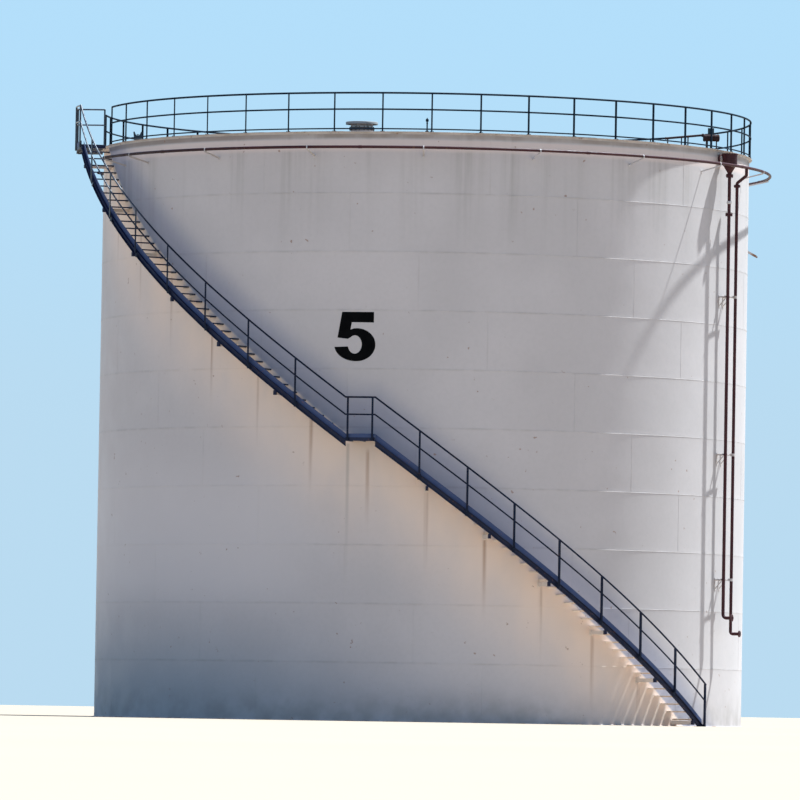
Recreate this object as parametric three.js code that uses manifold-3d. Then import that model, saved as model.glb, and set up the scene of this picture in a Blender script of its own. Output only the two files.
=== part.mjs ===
// Vertical storage tank: a cylindrical steel shell with a low cone roof, a spiral stair with one
// landing, a roof railing, a cooling ring pipe and a foam chamber with its riser.
// Millimetres, +Z up. The origin is on the tank's axis, on the ground. Angles are in degrees from
// -Y, growing towards +X, so the stair's foot is at the front right and its top at the left.
import * as THREE from "three";
import { mergeVertices } from "three/addons/utils/BufferGeometryUtils.js";
import Module from "manifold-3d";

const wasm = await Module();
wasm.setup();

// Driving dimensions: bottom, shell and roof
const shellRadius = 8594;
const shellSides = 48;
const courseCount = 10;
const courseHeight = 1500;
const plateThickness = [12, 12, 10, 10, 8, 8, 8, 8, 8, 8];
const bottomThickness = 10;
const bottomLedge = 60;
const curbHeight = 70;
const curbReach = 75;
const curbThickness = 10;
const roofSlope = 1 / 16;
const roofThickness = 8;
const roofOverhang = 20;

// How far a piece starts inside its neighbour before it is trimmed to it, and the gap it then keeps
const seatGap = 0.3;
const rootDepth = 60;
const weldDepth = 40;
const groundDepth = 200;

// Driving dimensions: roof fittings
const ventX = -1740;
const ventNeck = 585;
const ventCap = 860;
const ventTop = 15960;
const ventCapHeight = 80;
const hatchX = -7700;
const hatchY = -300;
const hatchLid = 240;
const hatchNeck = 192;
const hatchTop = 15420;
const hatchLidHeight = 45;
const gaugePipe = 60;
const gaugeTop = 16090;
const gaugeFlange = 220;
const gaugeFlangeHeight = 20;
const boxX = 7575;
const boxY = 150;
const boxTop = 15945;
const boxWidth = 170;
const boxDepth = 120;
const boxHeight = 190;
const boxPost = 60;
const conduitStart = 6350;
const conduitEnd = 7420;
const conduitStartLevel = 15643;
const conduitEndLevel = 15752;
const conduitSize = 60;
const housingStart = 7360;
const housingEnd = 7810;
const housingSize = 200;
const housingLevel = 15675;
const legPlaces = [6420, 6960, 7450, 7720];
const legSize = 50;
const legSides = 6;

// Driving dimensions: stair, railings and handrails
const railSize = 44;
const midRailSize = 36;
const postSize = 48;
const toeHeight = 50;
const toeThickness = 10;

const stairRadius = 9350;
const stringerOuter = 9325;
const stringerWidth = 70;
const stringerWeb = 10;
const stringerDepth = 222;
const stringerFlange = 14;
const treadDepth = 250;
const treadThickness = 40;
const stairArmHeight = 100;
const stairArmWidth = 60;
const stairArmDrop = 20;
const lowerArmAngles = [0.9, 10.9, 20.8, 30.9, 41, 50];
const upperArmAngles = [-24, -34.5, -44.5, -54.7, -65, -75.5];
const footPlateHeight = 120;
const footPlateWidth = 160;
const landingLevel = 7215;
const landingStart = -7.4;
const landingEnd = -12.1;
const landingDepth = 90;
const lowerRisers = 37;
const lowerGoing = 1.64;
const upperRisers = 40;
const upperGoing = 1.6525;
const toeAboveStringer = 100;
const midAboveStringer = 585;
const topAboveStringer = 1030;
const firstLowerPost = -7.9;
const lowerPostStep = 7.56;
const lowerPostCount = 8;
const firstUpperPost = -12.1;
const upperPostStep = 8.26;
const upperPostCount = 7;
const landingPostInset = 0.4;
const platformEnd = -93.5;
const platformRise = 22;
const platformRailHeights = [1105, 685, 100];
const platformDepth = 100;
const platformPlate = 12;
const platformRib = 12;
const platformRibInset = 0.16;
const endPostInset = 0.3;
const postRoot = 10;

const roofPostStep = 360 / 43;
const firstRoofPost = -74.55;
const roofBays = 40;
const roofEndPost = 265.3;
const roofRailHeights = [75, 575, 995];
const roofRailSize = 40;
const roofRailOffset = 30;
const railingParts = 6;
const baysPerPart = 7;
const railingPartGap = 0.35;

// Driving dimensions: ring pipe, risers and foam chamber
const ringRadius = 9155;
const ringLevel = 14640;
const ringPipe = 76;
const ringStart = -67.5;
const ringEnd = 255;
const ringSteps = 43;
const ringEndArm = -66.6;
const firstRingArm = -57.5;
const ringArmStep = 19;
const ringArmCount = 17;
const ringArmSize = 40;
const ringArmShellLevel = 14460;
const ringArmPipeLevel = 14596;
const spareArmAngle = 90;
const spareArmReach = 270;
const spareArmSize = 50;
const spareArmShellLevel = 12655;
const spareArmEndLevel = 12510;

const foamAngle = 63;
const coolingAngle = 66.3;
const riserRadius = 8895;
const foamPipe = 89;
const coolingPipe = 76;
const foamFoot = 2793;
const coolingFoot = 2393;
const stubReach = 265;
const stubFlangeThickness = 30;
const foamFlange = 190;
const coolingFlange = 170;
const foamTop = 14390;
const foamJoints = [
  [13600, 13660, foamFlange],
  [13815, 13865, 150],
  [foamTop - 30, foamTop, foamFlange],
];
const crankLevel = 14180;
const crankTop = 14420;
const coolingJointHeight = 50;
const chamberBottom = 14485;
const chamberTop = 14980;
const chamberFloor = 14700;
const chamberSize = 420;
const chamberSides = 12;
const chamberOutlet = 170;
const chamberOutletLevel = 14830;
const chamberNeck = 120;
const funnelMouth = 140;
const riserBracketLevels = [3840, 7110, 11240];
const bracketBarLength = 700;
const bracketBarHeight = 60;
const bracketArmWidth = 50;
const bracketArmInset = 0.8;
const bracketFootWidth = 320;
const bracketFootHeight = 360;
const bracketFootThickness = 24;

// Driving dimensions: shell manhole and outlet nozzle
const manholeAngle = 160;
const manholeLevel = 760;
const manholeNeck = 620;
const manholeCover = 760;
const manholeReach = 220;
const outletAngle = 190;
const outletLevel = 360;
const outletPipe = 219;
const outletFlange = 340;
const outletReach = 235;

// Finishes
const shellPaint = { color: 0xb9b5ae, roughness: 0.6, metalness: 0 };
const stairPaint = { color: 0x1b2440, roughness: 0.45, metalness: 0.1 };
const railPaint = { color: 0x202a3c, roughness: 0.45, metalness: 0.1 };
const pipePaint = { color: 0x5a1a20, roughness: 0.5, metalness: 0.1 };
const ventPaint = { color: 0xc8bdb8, roughness: 0.55, metalness: 0 };
const boxPaint = { color: 0x6f6a66, roughness: 0.5, metalness: 0.2 };

// How many flat sides stand in for a round one, and how far joined solids reach into each other
const pipeSides = 8;
const flangeSides = 10;
const drumSides = 20;
const overlap = 5;

const degree = Math.PI / 180;
const shellTop = courseCount * courseHeight;
const rimLevel = shellTop + curbHeight;
const faceRadius = shellRadius * Math.cos(Math.PI / shellSides);
const lowerFoot = landingStart + lowerRisers * lowerGoing;
const upperEnd = landingEnd - upperRisers * upperGoing;
const platformLevel = rimLevel + roofThickness + platformRise;
const insideShell = faceRadius - weldDepth;

function lerp(a, b, t) {
  return a + (b - a) * t;
}

// Turns a closed geometry into a solid that can be joined and cut.
function toSolid(geometry) {
  const plain = geometry.index ? geometry.toNonIndexed() : geometry;
  plain.deleteAttribute("normal");
  plain.deleteAttribute("uv");
  const merged = mergeVertices(plain, 1e-3);
  const vertProperties = new Float32Array(merged.attributes.position.array);
  const triVerts = new Uint32Array(merged.index.array);
  return new wasm.Manifold(new wasm.Mesh({ numProp: 3, vertProperties, triVerts }));
}

function joined(solids) {
  return solids.reduce((whole, next) => whole.add(next));
}

function toMesh(name, solid, paint) {
  const data = solid.getMesh();
  const geometry = new THREE.BufferGeometry();
  geometry.setAttribute("position", new THREE.BufferAttribute(new Float32Array(data.vertProperties), 3));
  geometry.setIndex(new THREE.BufferAttribute(new Uint32Array(data.triVerts), 1));
  geometry.computeVertexNormals();
  const mesh = new THREE.Mesh(geometry, new THREE.MeshStandardMaterial(paint));
  mesh.name = name;
  return mesh;
}

// A ring or disc turned about the tank's axis, from a profile of [radius, height] points.
function turned(profile, sides = shellSides) {
  const points = profile.map(([radius, height]) => new THREE.Vector2(radius, height));
  const geometry = new THREE.LatheGeometry(points, sides);
  geometry.rotateX(Math.PI / 2);
  return toSolid(geometry);
}

// A disc or stub of round section that stands upright at a place on the roof or the ground.
function uprightDrum(x, y, bottom, top, diameter, sides) {
  const geometry = new THREE.CylinderGeometry(diameter / 2, diameter / 2, top - bottom, sides);
  geometry.rotateX(Math.PI / 2);
  geometry.translate(x, y, (bottom + top) / 2);
  return toSolid(geometry);
}

function rectangle(width, height, centreX = 0, centreY = 0) {
  const shape = new THREE.Shape();
  shape.moveTo(centreX - width / 2, centreY - height / 2);
  shape.lineTo(centreX + width / 2, centreY - height / 2);
  shape.lineTo(centreX + width / 2, centreY + height / 2);
  shape.lineTo(centreX - width / 2, centreY + height / 2);
  shape.closePath();
  return shape;
}

// A round section drawn with a corner on its outward side.
function roundSection(diameter, sides) {
  const shape = new THREE.Shape();
  for (let side = 0; side < sides; side += 1) {
    const turn = (side / sides) * 2 * Math.PI;
    const x = (diameter / 2) * Math.cos(turn);
    const y = (diameter / 2) * Math.sin(turn);
    if (side === 0) shape.moveTo(x, y);
    else shape.lineTo(x, y);
  }
  shape.closePath();
  return shape;
}

// A bar bent round the tank: the section's x is outward from the axis and its y is up. It runs
// from the larger angle to the smaller one and rises or falls evenly on the way.
function wrapped(shape, radius, fromAngle, toAngle, fromLevel, toLevel, steps) {
  const geometry = new THREE.ExtrudeGeometry(shape, { depth: 1, steps, bevelEnabled: false });
  const places = geometry.attributes.position;
  for (let i = 0; i < places.count; i += 1) {
    const along = places.getZ(i);
    const angle = lerp(fromAngle, toAngle, along) * degree;
    const out = radius + places.getX(i);
    const level = lerp(fromLevel, toLevel, along) + places.getY(i);
    places.setXYZ(i, out * Math.sin(angle), -out * Math.cos(angle), level);
  }
  return toSolid(geometry);
}

// A block set square to the shell: its length lies along the radius from inner to outer.
function radialBlock(angle, inner, outer, bottom, top, width) {
  const geometry = new THREE.BoxGeometry(width, outer - inner, top - bottom);
  geometry.translate(0, -(inner + outer) / 2, (bottom + top) / 2);
  geometry.rotateZ(angle * degree);
  return toSolid(geometry);
}

// A bar along the radius whose level changes on the way out.
function slopingArm(angle, inner, innerLevel, outer, outerLevel, size) {
  const geometry = new THREE.BoxGeometry(size, outer - inner, size);
  const places = geometry.attributes.position;
  for (let i = 0; i < places.count; i += 1) {
    const along = 0.5 - places.getY(i) / (outer - inner);
    places.setY(i, -lerp(inner, outer, along));
    places.setZ(i, places.getZ(i) + lerp(innerLevel, outerLevel, along));
  }
  geometry.rotateZ(angle * degree);
  return toSolid(geometry);
}

// A round pipe that lies along the radius.
function radialPipe(angle, inner, outer, level, diameter, sides) {
  const geometry = new THREE.CylinderGeometry(diameter / 2, diameter / 2, outer - inner, sides);
  geometry.translate(0, -(inner + outer) / 2, level);
  geometry.rotateZ(angle * degree);
  return toSolid(geometry);
}

function uprightPipe(angle, radius, bottom, top, diameter, sides) {
  const x = radius * Math.sin(angle * degree);
  const y = -radius * Math.cos(angle * degree);
  return uprightDrum(x, y, bottom, top, diameter, sides);
}

// A solid drum just larger than the shell, which trims what is welded to the shell's face.
const shellSpace = turned([
  [0, -groundDepth],
  [shellRadius + seatGap, -groundDepth],
  [shellRadius + seatGap, shellTop + curbHeight - curbThickness - 1],
  [0, shellTop + curbHeight - curbThickness - 1],
]);

function onShell(solid) {
  return solid.subtract(shellSpace);
}

const tank = new THREE.Group();
tank.name = "vertical_storage_tank";

function addPiece(name, solid, paint) {
  tank.add(toMesh(name, solid, paint));
}

// Bottom, shell courses, curb angle and roof
addPiece(
  "bottom_plate",
  turned([
    [0, 0],
    [shellRadius + bottomLedge, 0],
    [shellRadius + bottomLedge, bottomThickness],
    [0, bottomThickness],
  ]),
  shellPaint,
);

for (let course = 0; course < courseCount; course += 1) {
  const inner = shellRadius - plateThickness[course];
  const bottom = course === 0 ? bottomThickness : course * courseHeight;
  const top = (course + 1) * courseHeight;
  const ring = turned([
    [inner, bottom],
    [shellRadius, bottom],
    [shellRadius, top],
    [inner, top],
    [inner, bottom],
  ]);
  addPiece(`shell_course_${String(course + 1).padStart(2, "0")}`, ring, shellPaint);
}

addPiece(
  "curb_angle",
  turned([
    [shellRadius - curbThickness, shellTop],
    [shellRadius, shellTop],
    [shellRadius, rimLevel - curbThickness],
    [shellRadius + curbReach, rimLevel - curbThickness],
    [shellRadius + curbReach, rimLevel],
    [shellRadius - curbThickness, rimLevel],
    [shellRadius - curbThickness, shellTop],
  ]),
  shellPaint,
);

const roofEdge = shellRadius + roofOverhang;
const roofRise = roofEdge * roofSlope;
const roofSeat = rimLevel + seatGap;

function roofTopAt(x, y) {
  return roofSeat + roofThickness + (roofEdge - Math.hypot(x, y)) * roofSlope;
}

const roofCone = turned([
  [0, roofSeat + roofRise],
  [roofEdge, roofSeat],
  [roofEdge, roofSeat + roofThickness],
  [0, roofSeat + roofRise + roofThickness],
]);
addPiece("roof_plates", roofCone, shellPaint);

const roofSpace = turned([
  [0, shellTop],
  [roofEdge + seatGap, shellTop],
  [roofEdge + seatGap, roofSeat + roofThickness + seatGap],
  [0, roofSeat + roofRise + roofThickness + seatGap],
]);

function onRoof(solid) {
  return solid.subtract(roofSpace);
}

// Roof fittings: the vent, the gauge hatch, the gauge post and the instrument box with its pipe
const capSeat = ventTop - ventCapHeight;
addPiece(
  "roof_vent_neck",
  onRoof(uprightDrum(ventX, 0, roofTopAt(ventX, 0) - rootDepth, capSeat - seatGap, ventNeck, drumSides)),
  ventPaint,
);
addPiece("roof_vent_cap", uprightDrum(ventX, 0, capSeat, ventTop, ventCap, drumSides), ventPaint);

const lidSeat = hatchTop - hatchLidHeight;
const hatchFoot = roofTopAt(hatchX, 0) - rootDepth;
addPiece(
  "roof_gauge_hatch",
  onRoof(
    joined([
      uprightDrum(hatchX, hatchY, hatchFoot, lidSeat + overlap, hatchNeck, flangeSides + 2),
      uprightDrum(hatchX, hatchY, lidSeat, hatchTop, hatchLid, flangeSides + 2),
    ]),
  ),
  railPaint,
);

const gaugeSeat = roofTopAt(0, 0);
addPiece(
  "roof_gauge_post",
  onRoof(
    joined([
      uprightDrum(0, 0, gaugeSeat - rootDepth, gaugeTop, gaugePipe, pipeSides),
      uprightDrum(0, 0, gaugeSeat - rootDepth, gaugeSeat + gaugeFlangeHeight, gaugeFlange, flangeSides + 2),
    ]),
  ),
  railPaint,
);

const instrumentBox = new THREE.BoxGeometry(boxWidth, boxDepth, boxHeight);
instrumentBox.translate(boxX, boxY, boxTop - boxHeight / 2);
const boxPostFoot = roofTopAt(boxX, boxY) - rootDepth;
addPiece(
  "roof_instrument_box",
  onRoof(
    joined([
      uprightDrum(boxX, boxY, boxPostFoot, boxTop - boxHeight + overlap, boxPost, pipeSides),
      toSolid(instrumentBox),
    ]),
  ),
  boxPaint,
);

// A round bar along X at y 0 whose level changes evenly from its start to its end
function barAlongX(start, end, startLevel, endLevel, diameter, sides) {
  const geometry = new THREE.CylinderGeometry(diameter / 2, diameter / 2, end - start, sides);
  geometry.rotateZ(-Math.PI / 2);
  const places = geometry.attributes.position;
  for (let i = 0; i < places.count; i += 1) {
    const along = 0.5 + places.getX(i) / (end - start);
    places.setX(i, lerp(start, end, along));
    places.setZ(i, places.getZ(i) + lerp(startLevel, endLevel, along));
  }
  return toSolid(geometry);
}

function conduitLevelAt(x) {
  const along = (x - conduitStart) / (conduitEnd - conduitStart);
  return Math.min(lerp(conduitStartLevel, conduitEndLevel, along), conduitEndLevel);
}

addPiece(
  "roof_instrument_pipe",
  onRoof(
    joined([
      barAlongX(conduitStart, conduitEnd, conduitStartLevel, conduitEndLevel, conduitSize, pipeSides),
      barAlongX(housingStart, housingEnd, housingLevel, housingLevel, housingSize, flangeSides),
      ...legPlaces.map((x) => {
        const top = x > housingStart ? housingLevel : conduitLevelAt(x);
        return uprightDrum(x, 0, roofTopAt(x, 0) - rootDepth, top, legSize, legSides);
      }),
    ]),
  ),
  boxPaint,
);

// The roof railing: posts on the rim, and three rails bent round it
const rimSpace = turned([
  [0, shellTop - groundDepth],
  [shellRadius + curbReach + seatGap, shellTop - groundDepth],
  [shellRadius + curbReach + seatGap, roofSeat + roofThickness + seatGap],
  [roofEdge + seatGap, roofSeat + roofThickness + seatGap],
  [0, roofSeat + roofRise + roofThickness + seatGap],
]);

const roofRailRadius = shellRadius + roofRailOffset;

function roofPost(angle) {
  const inner = roofRailRadius - railSize / 2;
  const outer = roofRailRadius + railSize / 2;
  return radialBlock(angle, inner, outer, rimLevel - postRoot, rimLevel + roofRailHeights[2], railSize);
}

function roofRailing(angles) {
  const pieces = angles.map(roofPost);
  const last = angles.length - 1;
  roofRailHeights.forEach((height, row) => {
    const size = row === 0 ? midRailSize : roofRailSize;
    pieces.push(
      wrapped(
        rectangle(size, size),
        roofRailRadius,
        angles[last],
        angles[0],
        rimLevel + height,
        rimLevel + height,
        last,
      ),
    );
  });
  return joined(pieces).subtract(rimSpace);
}

const roofPosts = [];
for (let bay = 0; bay <= roofBays; bay += 1) roofPosts.push(firstRoofPost + bay * roofPostStep);
roofPosts.push(roofEndPost);
for (let part = 0; part < railingParts; part += 1) {
  const first = part * baysPerPart;
  const posts = roofPosts.slice(first, first + baysPerPart + 1);
  const shift = part === 0 ? 0 : railingPartGap;
  const angles = [posts[0] + shift, ...posts.slice(1)];
  addPiece(`roof_railing_${part + 1}`, roofRailing(angles), railPaint);
}

// The stair's stringer, a channel whose flanges point outwards
function channelShape(grow = 0) {
  const half = stringerWidth / 2 + grow;
  const shape = new THREE.Shape();
  shape.moveTo(-half, -stringerDepth - grow);
  shape.lineTo(half, -stringerDepth - grow);
  if (grow === 0) {
    shape.lineTo(half, -stringerDepth + stringerFlange);
    shape.lineTo(-half + stringerWeb, -stringerDepth + stringerFlange);
    shape.lineTo(-half + stringerWeb, -stringerFlange);
    shape.lineTo(half, -stringerFlange);
  }
  shape.lineTo(half, grow);
  shape.lineTo(-half, grow);
  shape.closePath();
  return shape;
}

const stringerCentre = stringerOuter - stringerWidth / 2;
const treadOuter = stringerOuter - stringerWidth + stringerWeb / 2;

function tread(frontAngle, top) {
  const halfTread = treadDepth / stairRadius / degree / 2;
  return radialBlock(frontAngle - halfTread, insideShell, treadOuter, top - treadThickness, top, treadDepth);
}

// An arm that carries the stringer from the shell, with its end plate showing below the stringer
function stairArm(angle, stringerBottom) {
  const armTop = stringerBottom - stairArmDrop;
  const armBottom = armTop - stairArmHeight;
  const platenInner = stringerOuter - stringerWidth + stringerWeb - 3;
  const platenOuter = stringerOuter - overlap;
  return joined([
    radialBlock(angle, insideShell, platenOuter, armBottom, armTop, stairArmWidth),
    radialBlock(angle, platenInner, platenOuter, armBottom, armTop + rootDepth, stairArmWidth),
  ]);
}

const lowerSlope = (landingLevel / lowerRisers) / lowerGoing;
const upperSlope = ((platformLevel - landingLevel) / upperRisers) / upperGoing;

function lowerLine(angle) {
  return landingLevel - (angle - landingStart) * lowerSlope;
}

function upperLine(angle) {
  return landingLevel + (landingEnd - angle) * upperSlope;
}

const groundBlock = toSolid(
  new THREE.BoxGeometry(4 * shellRadius, 4 * shellRadius, 2 * groundDepth).translate(0, 0, -groundDepth),
);
const jointGap = (seatGap / stairRadius) / degree;

// The lower flight runs a little into the ground before it is cut off level there
const footRunOut = 1;
const lowerTreads = [];
for (let step = 1; step < lowerRisers; step += 1) {
  const angle = landingStart + step * lowerGoing;
  lowerTreads.push(tread(angle, landingLevel - (step * landingLevel) / lowerRisers));
}
const lowerFlight = onShell(
  joined([
    wrapped(channelShape(), stringerCentre, lowerFoot + footRunOut, landingStart + jointGap,
      lowerLine(lowerFoot + footRunOut), landingLevel, 15),
    ...lowerTreads,
    ...lowerArmAngles.map((angle) => stairArm(angle, lowerLine(angle) - stringerDepth)),
    radialBlock(lowerFoot - 1.2 * footRunOut, stringerOuter - stringerWidth, stringerOuter,
      0, footPlateHeight, footPlateWidth),
  ]),
).subtract(groundBlock);
addPiece("lower_flight", lowerFlight, stairPaint);

const upperTreads = [];
for (let step = 1; step < upperRisers; step += 1) {
  const angle = landingEnd - step * upperGoing;
  const rise = ((platformLevel - landingLevel) / upperRisers) * step;
  upperTreads.push(tread(angle, landingLevel + rise));
}
const upperFlight = onShell(
  joined([
    wrapped(channelShape(), stringerCentre, landingEnd - jointGap, upperEnd + jointGap,
      landingLevel, platformLevel, 16),
    ...upperTreads,
    ...upperArmAngles.map((angle) => stairArm(angle, upperLine(angle) - stringerDepth)),
  ]),
);
addPiece("upper_flight", upperFlight, stairPaint);

// The landing between the flights and the platform at the roof: a plate on an edge frame
function levelPlatform(fromAngle, toAngle, level, depth, steps) {
  const width = stringerOuter - insideShell;
  const edgeWidth = 1.2 * stringerWeb;
  const plate = wrapped(
    rectangle(width, platformPlate, width / 2, -platformPlate / 2),
    insideShell,
    fromAngle,
    toAngle,
    level,
    level,
    steps,
  );
  const edge = wrapped(
    rectangle(edgeWidth, depth, -edgeWidth / 2, -depth / 2),
    stringerOuter,
    fromAngle,
    toAngle,
    level,
    level,
    steps,
  );
  const ribs = [fromAngle - platformRibInset, toAngle + platformRibInset].map((angle) =>
    radialBlock(angle, insideShell, stringerOuter - 2, level - depth, level - 1, platformRib),
  );
  return joined([plate, edge, ...ribs]);
}

const landing = onShell(levelPlatform(landingStart, landingEnd, landingLevel, landingDepth, 2));
addPiece("stair_landing", landing, stairPaint);

const platform = levelPlatform(upperEnd, platformEnd, platformLevel, platformDepth, 4)
  .subtract(rimSpace)
  .subtract(shellSpace);
addPiece("top_platform", platform, stairPaint);

// Handrails: posts outside the stringer, a top rail, a middle rail and a flat toe rail
function handrailPost(angle, foot, top) {
  const half = postSize / 2;
  return radialBlock(angle, stairRadius - half, stairRadius + half, foot, top, postSize);
}

const stairRailHeights = [topAboveStringer, midAboveStringer, toeAboveStringer];

function railRun(fromAngle, toAngle, fromLevel, toLevel, steps, heights = stairRailHeights) {
  const shapes = [
    rectangle(railSize, railSize),
    rectangle(midRailSize, midRailSize),
    rectangle(toeThickness, toeHeight),
  ];
  return shapes.map((shape, row) =>
    wrapped(shape, stairRadius, fromAngle, toAngle, fromLevel + heights[row], toLevel + heights[row], steps),
  );
}

// Spaces that the stair takes up, each run a little past its ends, which trim the posts beside it
const runGap = 0.5 * jointGap;
const pastEnd = 1;
const lowerStringerSpace = wrapped(channelShape(seatGap), stringerCentre, lowerFoot + 3 * pastEnd,
  landingStart - pastEnd, lowerLine(lowerFoot + 3 * pastEnd), lowerLine(landingStart - pastEnd), 16);
const upperStringerSpace = wrapped(channelShape(seatGap), stringerCentre, landingEnd + pastEnd,
  upperEnd - pastEnd, upperLine(landingEnd + pastEnd), upperLine(upperEnd - pastEnd), 18);

function edgeSpace(fromAngle, toAngle, level, depth, steps) {
  const width = stringerWidth + stringerWeb;
  return wrapped(rectangle(width, 2 * depth, -width / 2 + seatGap, 0), stringerOuter,
    fromAngle + pastEnd, toAngle - pastEnd, level, level, steps);
}

const levelSpaces = [
  edgeSpace(landingStart, landingEnd, landingLevel, landingDepth, 2),
  edgeSpace(upperEnd, platformEnd, platformLevel, platformDepth, 4),
];

function clearOfStair(solid) {
  return [lowerStringerSpace, upperStringerSpace, ...levelSpaces].reduce(
    (rest, space) => rest.subtract(space),
    solid,
  );
}

const lowerPosts = [];
for (let post = 1; post <= lowerPostCount; post += 1) {
  lowerPosts.push(firstLowerPost + post * lowerPostStep);
}
const lowerRailEnd = lowerFoot - 0.5;
const lowerHandrail = clearOfStair(
  joined([
    ...railRun(lowerRailEnd, landingStart + runGap, lowerLine(lowerRailEnd), landingLevel, 16),
    ...lowerPosts.map((angle) =>
      handrailPost(angle, lowerLine(angle) - stringerDepth / 2, lowerLine(angle) + topAboveStringer),
    ),
  ]),
).subtract(groundBlock);
addPiece("lower_handrail", lowerHandrail, railPaint);

const landingPosts = [landingStart - landingPostInset, landingEnd + landingPostInset];
const landingRailing = clearOfStair(
  joined([
    ...railRun(landingStart - runGap, landingEnd + runGap, landingLevel, landingLevel, 2),
    ...landingPosts.map((angle) =>
      handrailPost(angle, landingLevel - landingDepth + postRoot, landingLevel + topAboveStringer),
    ),
  ]),
);
addPiece("landing_railing", landingRailing, railPaint);

const upperPosts = [];
for (let post = 1; post <= upperPostCount; post += 1) {
  upperPosts.push(firstUpperPost - post * upperPostStep);
}
const upperHandrail = clearOfStair(
  joined([
    ...railRun(landingEnd - runGap, upperEnd + runGap, landingLevel, platformLevel, 16),
    ...upperPosts.map((angle) =>
      handrailPost(angle, upperLine(angle) - stringerDepth / 2, upperLine(angle) + topAboveStringer),
    ),
  ]),
);
addPiece("upper_handrail", upperHandrail, railPaint);

// The platform's railing turns in to the rim at its far end, where its last post stands
const returnAngle = platformEnd + endPostInset;
const returnInner = shellRadius + weldDepth;
const platformPosts = [upperEnd - landingPostInset, (upperEnd + platformEnd) / 2, returnAngle];
const platformPostTop = platformLevel + platformRailHeights[0];
const returnRails = platformRailHeights.slice(0, 2).map((height) =>
  radialBlock(
    returnAngle,
    returnInner,
    stairRadius,
    platformLevel + height - midRailSize / 2,
    platformLevel + height + midRailSize / 2,
    midRailSize,
  ),
);
const rimPost = radialBlock(
  returnAngle,
  returnInner - postSize / 2,
  returnInner + postSize / 2,
  platformLevel + seatGap,
  platformPostTop,
  postSize,
);
const topRailing = clearOfStair(
  joined([
    ...railRun(upperEnd - runGap, returnAngle - 0.1, platformLevel, platformLevel, 4, platformRailHeights),
    ...platformPosts.map((angle) =>
      handrailPost(angle, platformLevel - platformDepth + postRoot, platformPostTop),
    ),
    rimPost,
    ...returnRails,
  ]),
).subtract(rimSpace);
addPiece("top_platform_railing", topRailing, railPaint);

// The cooling ring pipe on arms that slope up from the shell, and a spare arm at the right
const ringArmAngles = [ringEndArm];
for (let arm = 0; arm < ringArmCount; arm += 1) ringArmAngles.push(firstRingArm + arm * ringArmStep);
const ringSection = roundSection(ringPipe, 6);
const ring = onShell(
  joined([
    wrapped(ringSection, ringRadius, ringEnd, ringStart, ringLevel, ringLevel, ringSteps),
    ...ringArmAngles.map((angle) =>
      slopingArm(angle, insideShell, ringArmShellLevel, ringRadius, ringArmPipeLevel, ringArmSize),
    ),
  ]),
);
addPiece("cooling_ring_pipe", ring, pipePaint);

const spareArm = joined([
  slopingArm(spareArmAngle, insideShell, spareArmShellLevel, shellRadius + spareArmReach,
    spareArmEndLevel, spareArmSize),
  radialBlock(spareArmAngle, insideShell, shellRadius + bracketFootThickness / 2,
    spareArmShellLevel - 2 * spareArmSize, spareArmShellLevel + spareArmSize, 3 * spareArmSize),
]);
addPiece("spare_pipe_arm", onShell(spareArm), shellPaint);

// The two risers, each with a flanged stub at its foot that points away from the shell
function footStub(angle, level, pipe, flange) {
  const end = riserRadius + stubReach;
  return [
    radialPipe(angle, riserRadius, end - overlap, level, pipe, pipeSides),
    radialPipe(angle, end - stubFlangeThickness, end, level, flange, flangeSides),
  ];
}

const foamStubLevel = foamFoot + 45;
const foamRiser = joined([
  uprightPipe(foamAngle, riserRadius, foamFoot, foamTop, foamPipe, pipeSides),
  ...foamJoints.map(([bottom, top, size]) =>
    uprightPipe(foamAngle, riserRadius, bottom, top, size, flangeSides),
  ),
  ...footStub(foamAngle, foamStubLevel, foamPipe, foamFlange),
]);
addPiece("foam_riser", foamRiser, pipePaint);

const ringUnderside = ringLevel - ringPipe / 2;
const crankPath = new THREE.CatmullRomCurve3(
  [
    [riserRadius, crankLevel - 40],
    [riserRadius, crankLevel],
    [(riserRadius + ringRadius) / 2, (crankLevel + crankTop) / 2],
    [ringRadius, crankTop],
    [ringRadius, ringUnderside - 2],
  ].map(
    ([radius, level]) =>
      new THREE.Vector3(
        radius * Math.sin(coolingAngle * degree),
        -radius * Math.cos(coolingAngle * degree),
        level,
      ),
  ),
);
const crank = toSolid(
  new THREE.ExtrudeGeometry(roundSection(coolingPipe * 0.96, pipeSides), {
    steps: 10,
    extrudePath: crankPath,
    bevelEnabled: false,
  }),
);
const coolingStubLevel = coolingFoot + 38;
const coolingJointFoot = crankLevel - coolingJointHeight;
const coolingRiser = joined([
  uprightPipe(coolingAngle, riserRadius, coolingFoot, crankLevel - 20, coolingPipe, pipeSides),
  uprightPipe(coolingAngle, riserRadius, coolingJointFoot, crankLevel, coolingFlange, flangeSides),
  crank,
  ...footStub(coolingAngle, coolingStubLevel, coolingPipe, coolingFlange),
]);
addPiece("cooling_riser", coolingRiser, pipePaint);

// The foam chamber: an upright drum over a funnel and a flanged neck, with an outlet into the shell
const funnelTop = chamberFloor + overlap;
const funnel = new THREE.CylinderGeometry(
  chamberSize / 2,
  funnelMouth / 2,
  funnelTop - chamberBottom,
  chamberSides,
);
funnel.rotateX(Math.PI / 2);
funnel.translate(
  riserRadius * Math.sin(foamAngle * degree),
  -riserRadius * Math.cos(foamAngle * degree),
  (funnelTop + chamberBottom) / 2,
);
const neckFoot = foamTop + seatGap;
const foamChamber = onShell(
  joined([
    uprightPipe(foamAngle, riserRadius, chamberFloor, chamberTop, chamberSize, chamberSides),
    radialPipe(foamAngle, insideShell, riserRadius, chamberOutletLevel, chamberOutlet, pipeSides),
    toSolid(funnel),
    uprightPipe(foamAngle, riserRadius, neckFoot, chamberBottom + 30, chamberNeck, pipeSides),
    uprightPipe(foamAngle, riserRadius, neckFoot, neckFoot + 30, foamFlange, flangeSides),
  ]),
);
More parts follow.
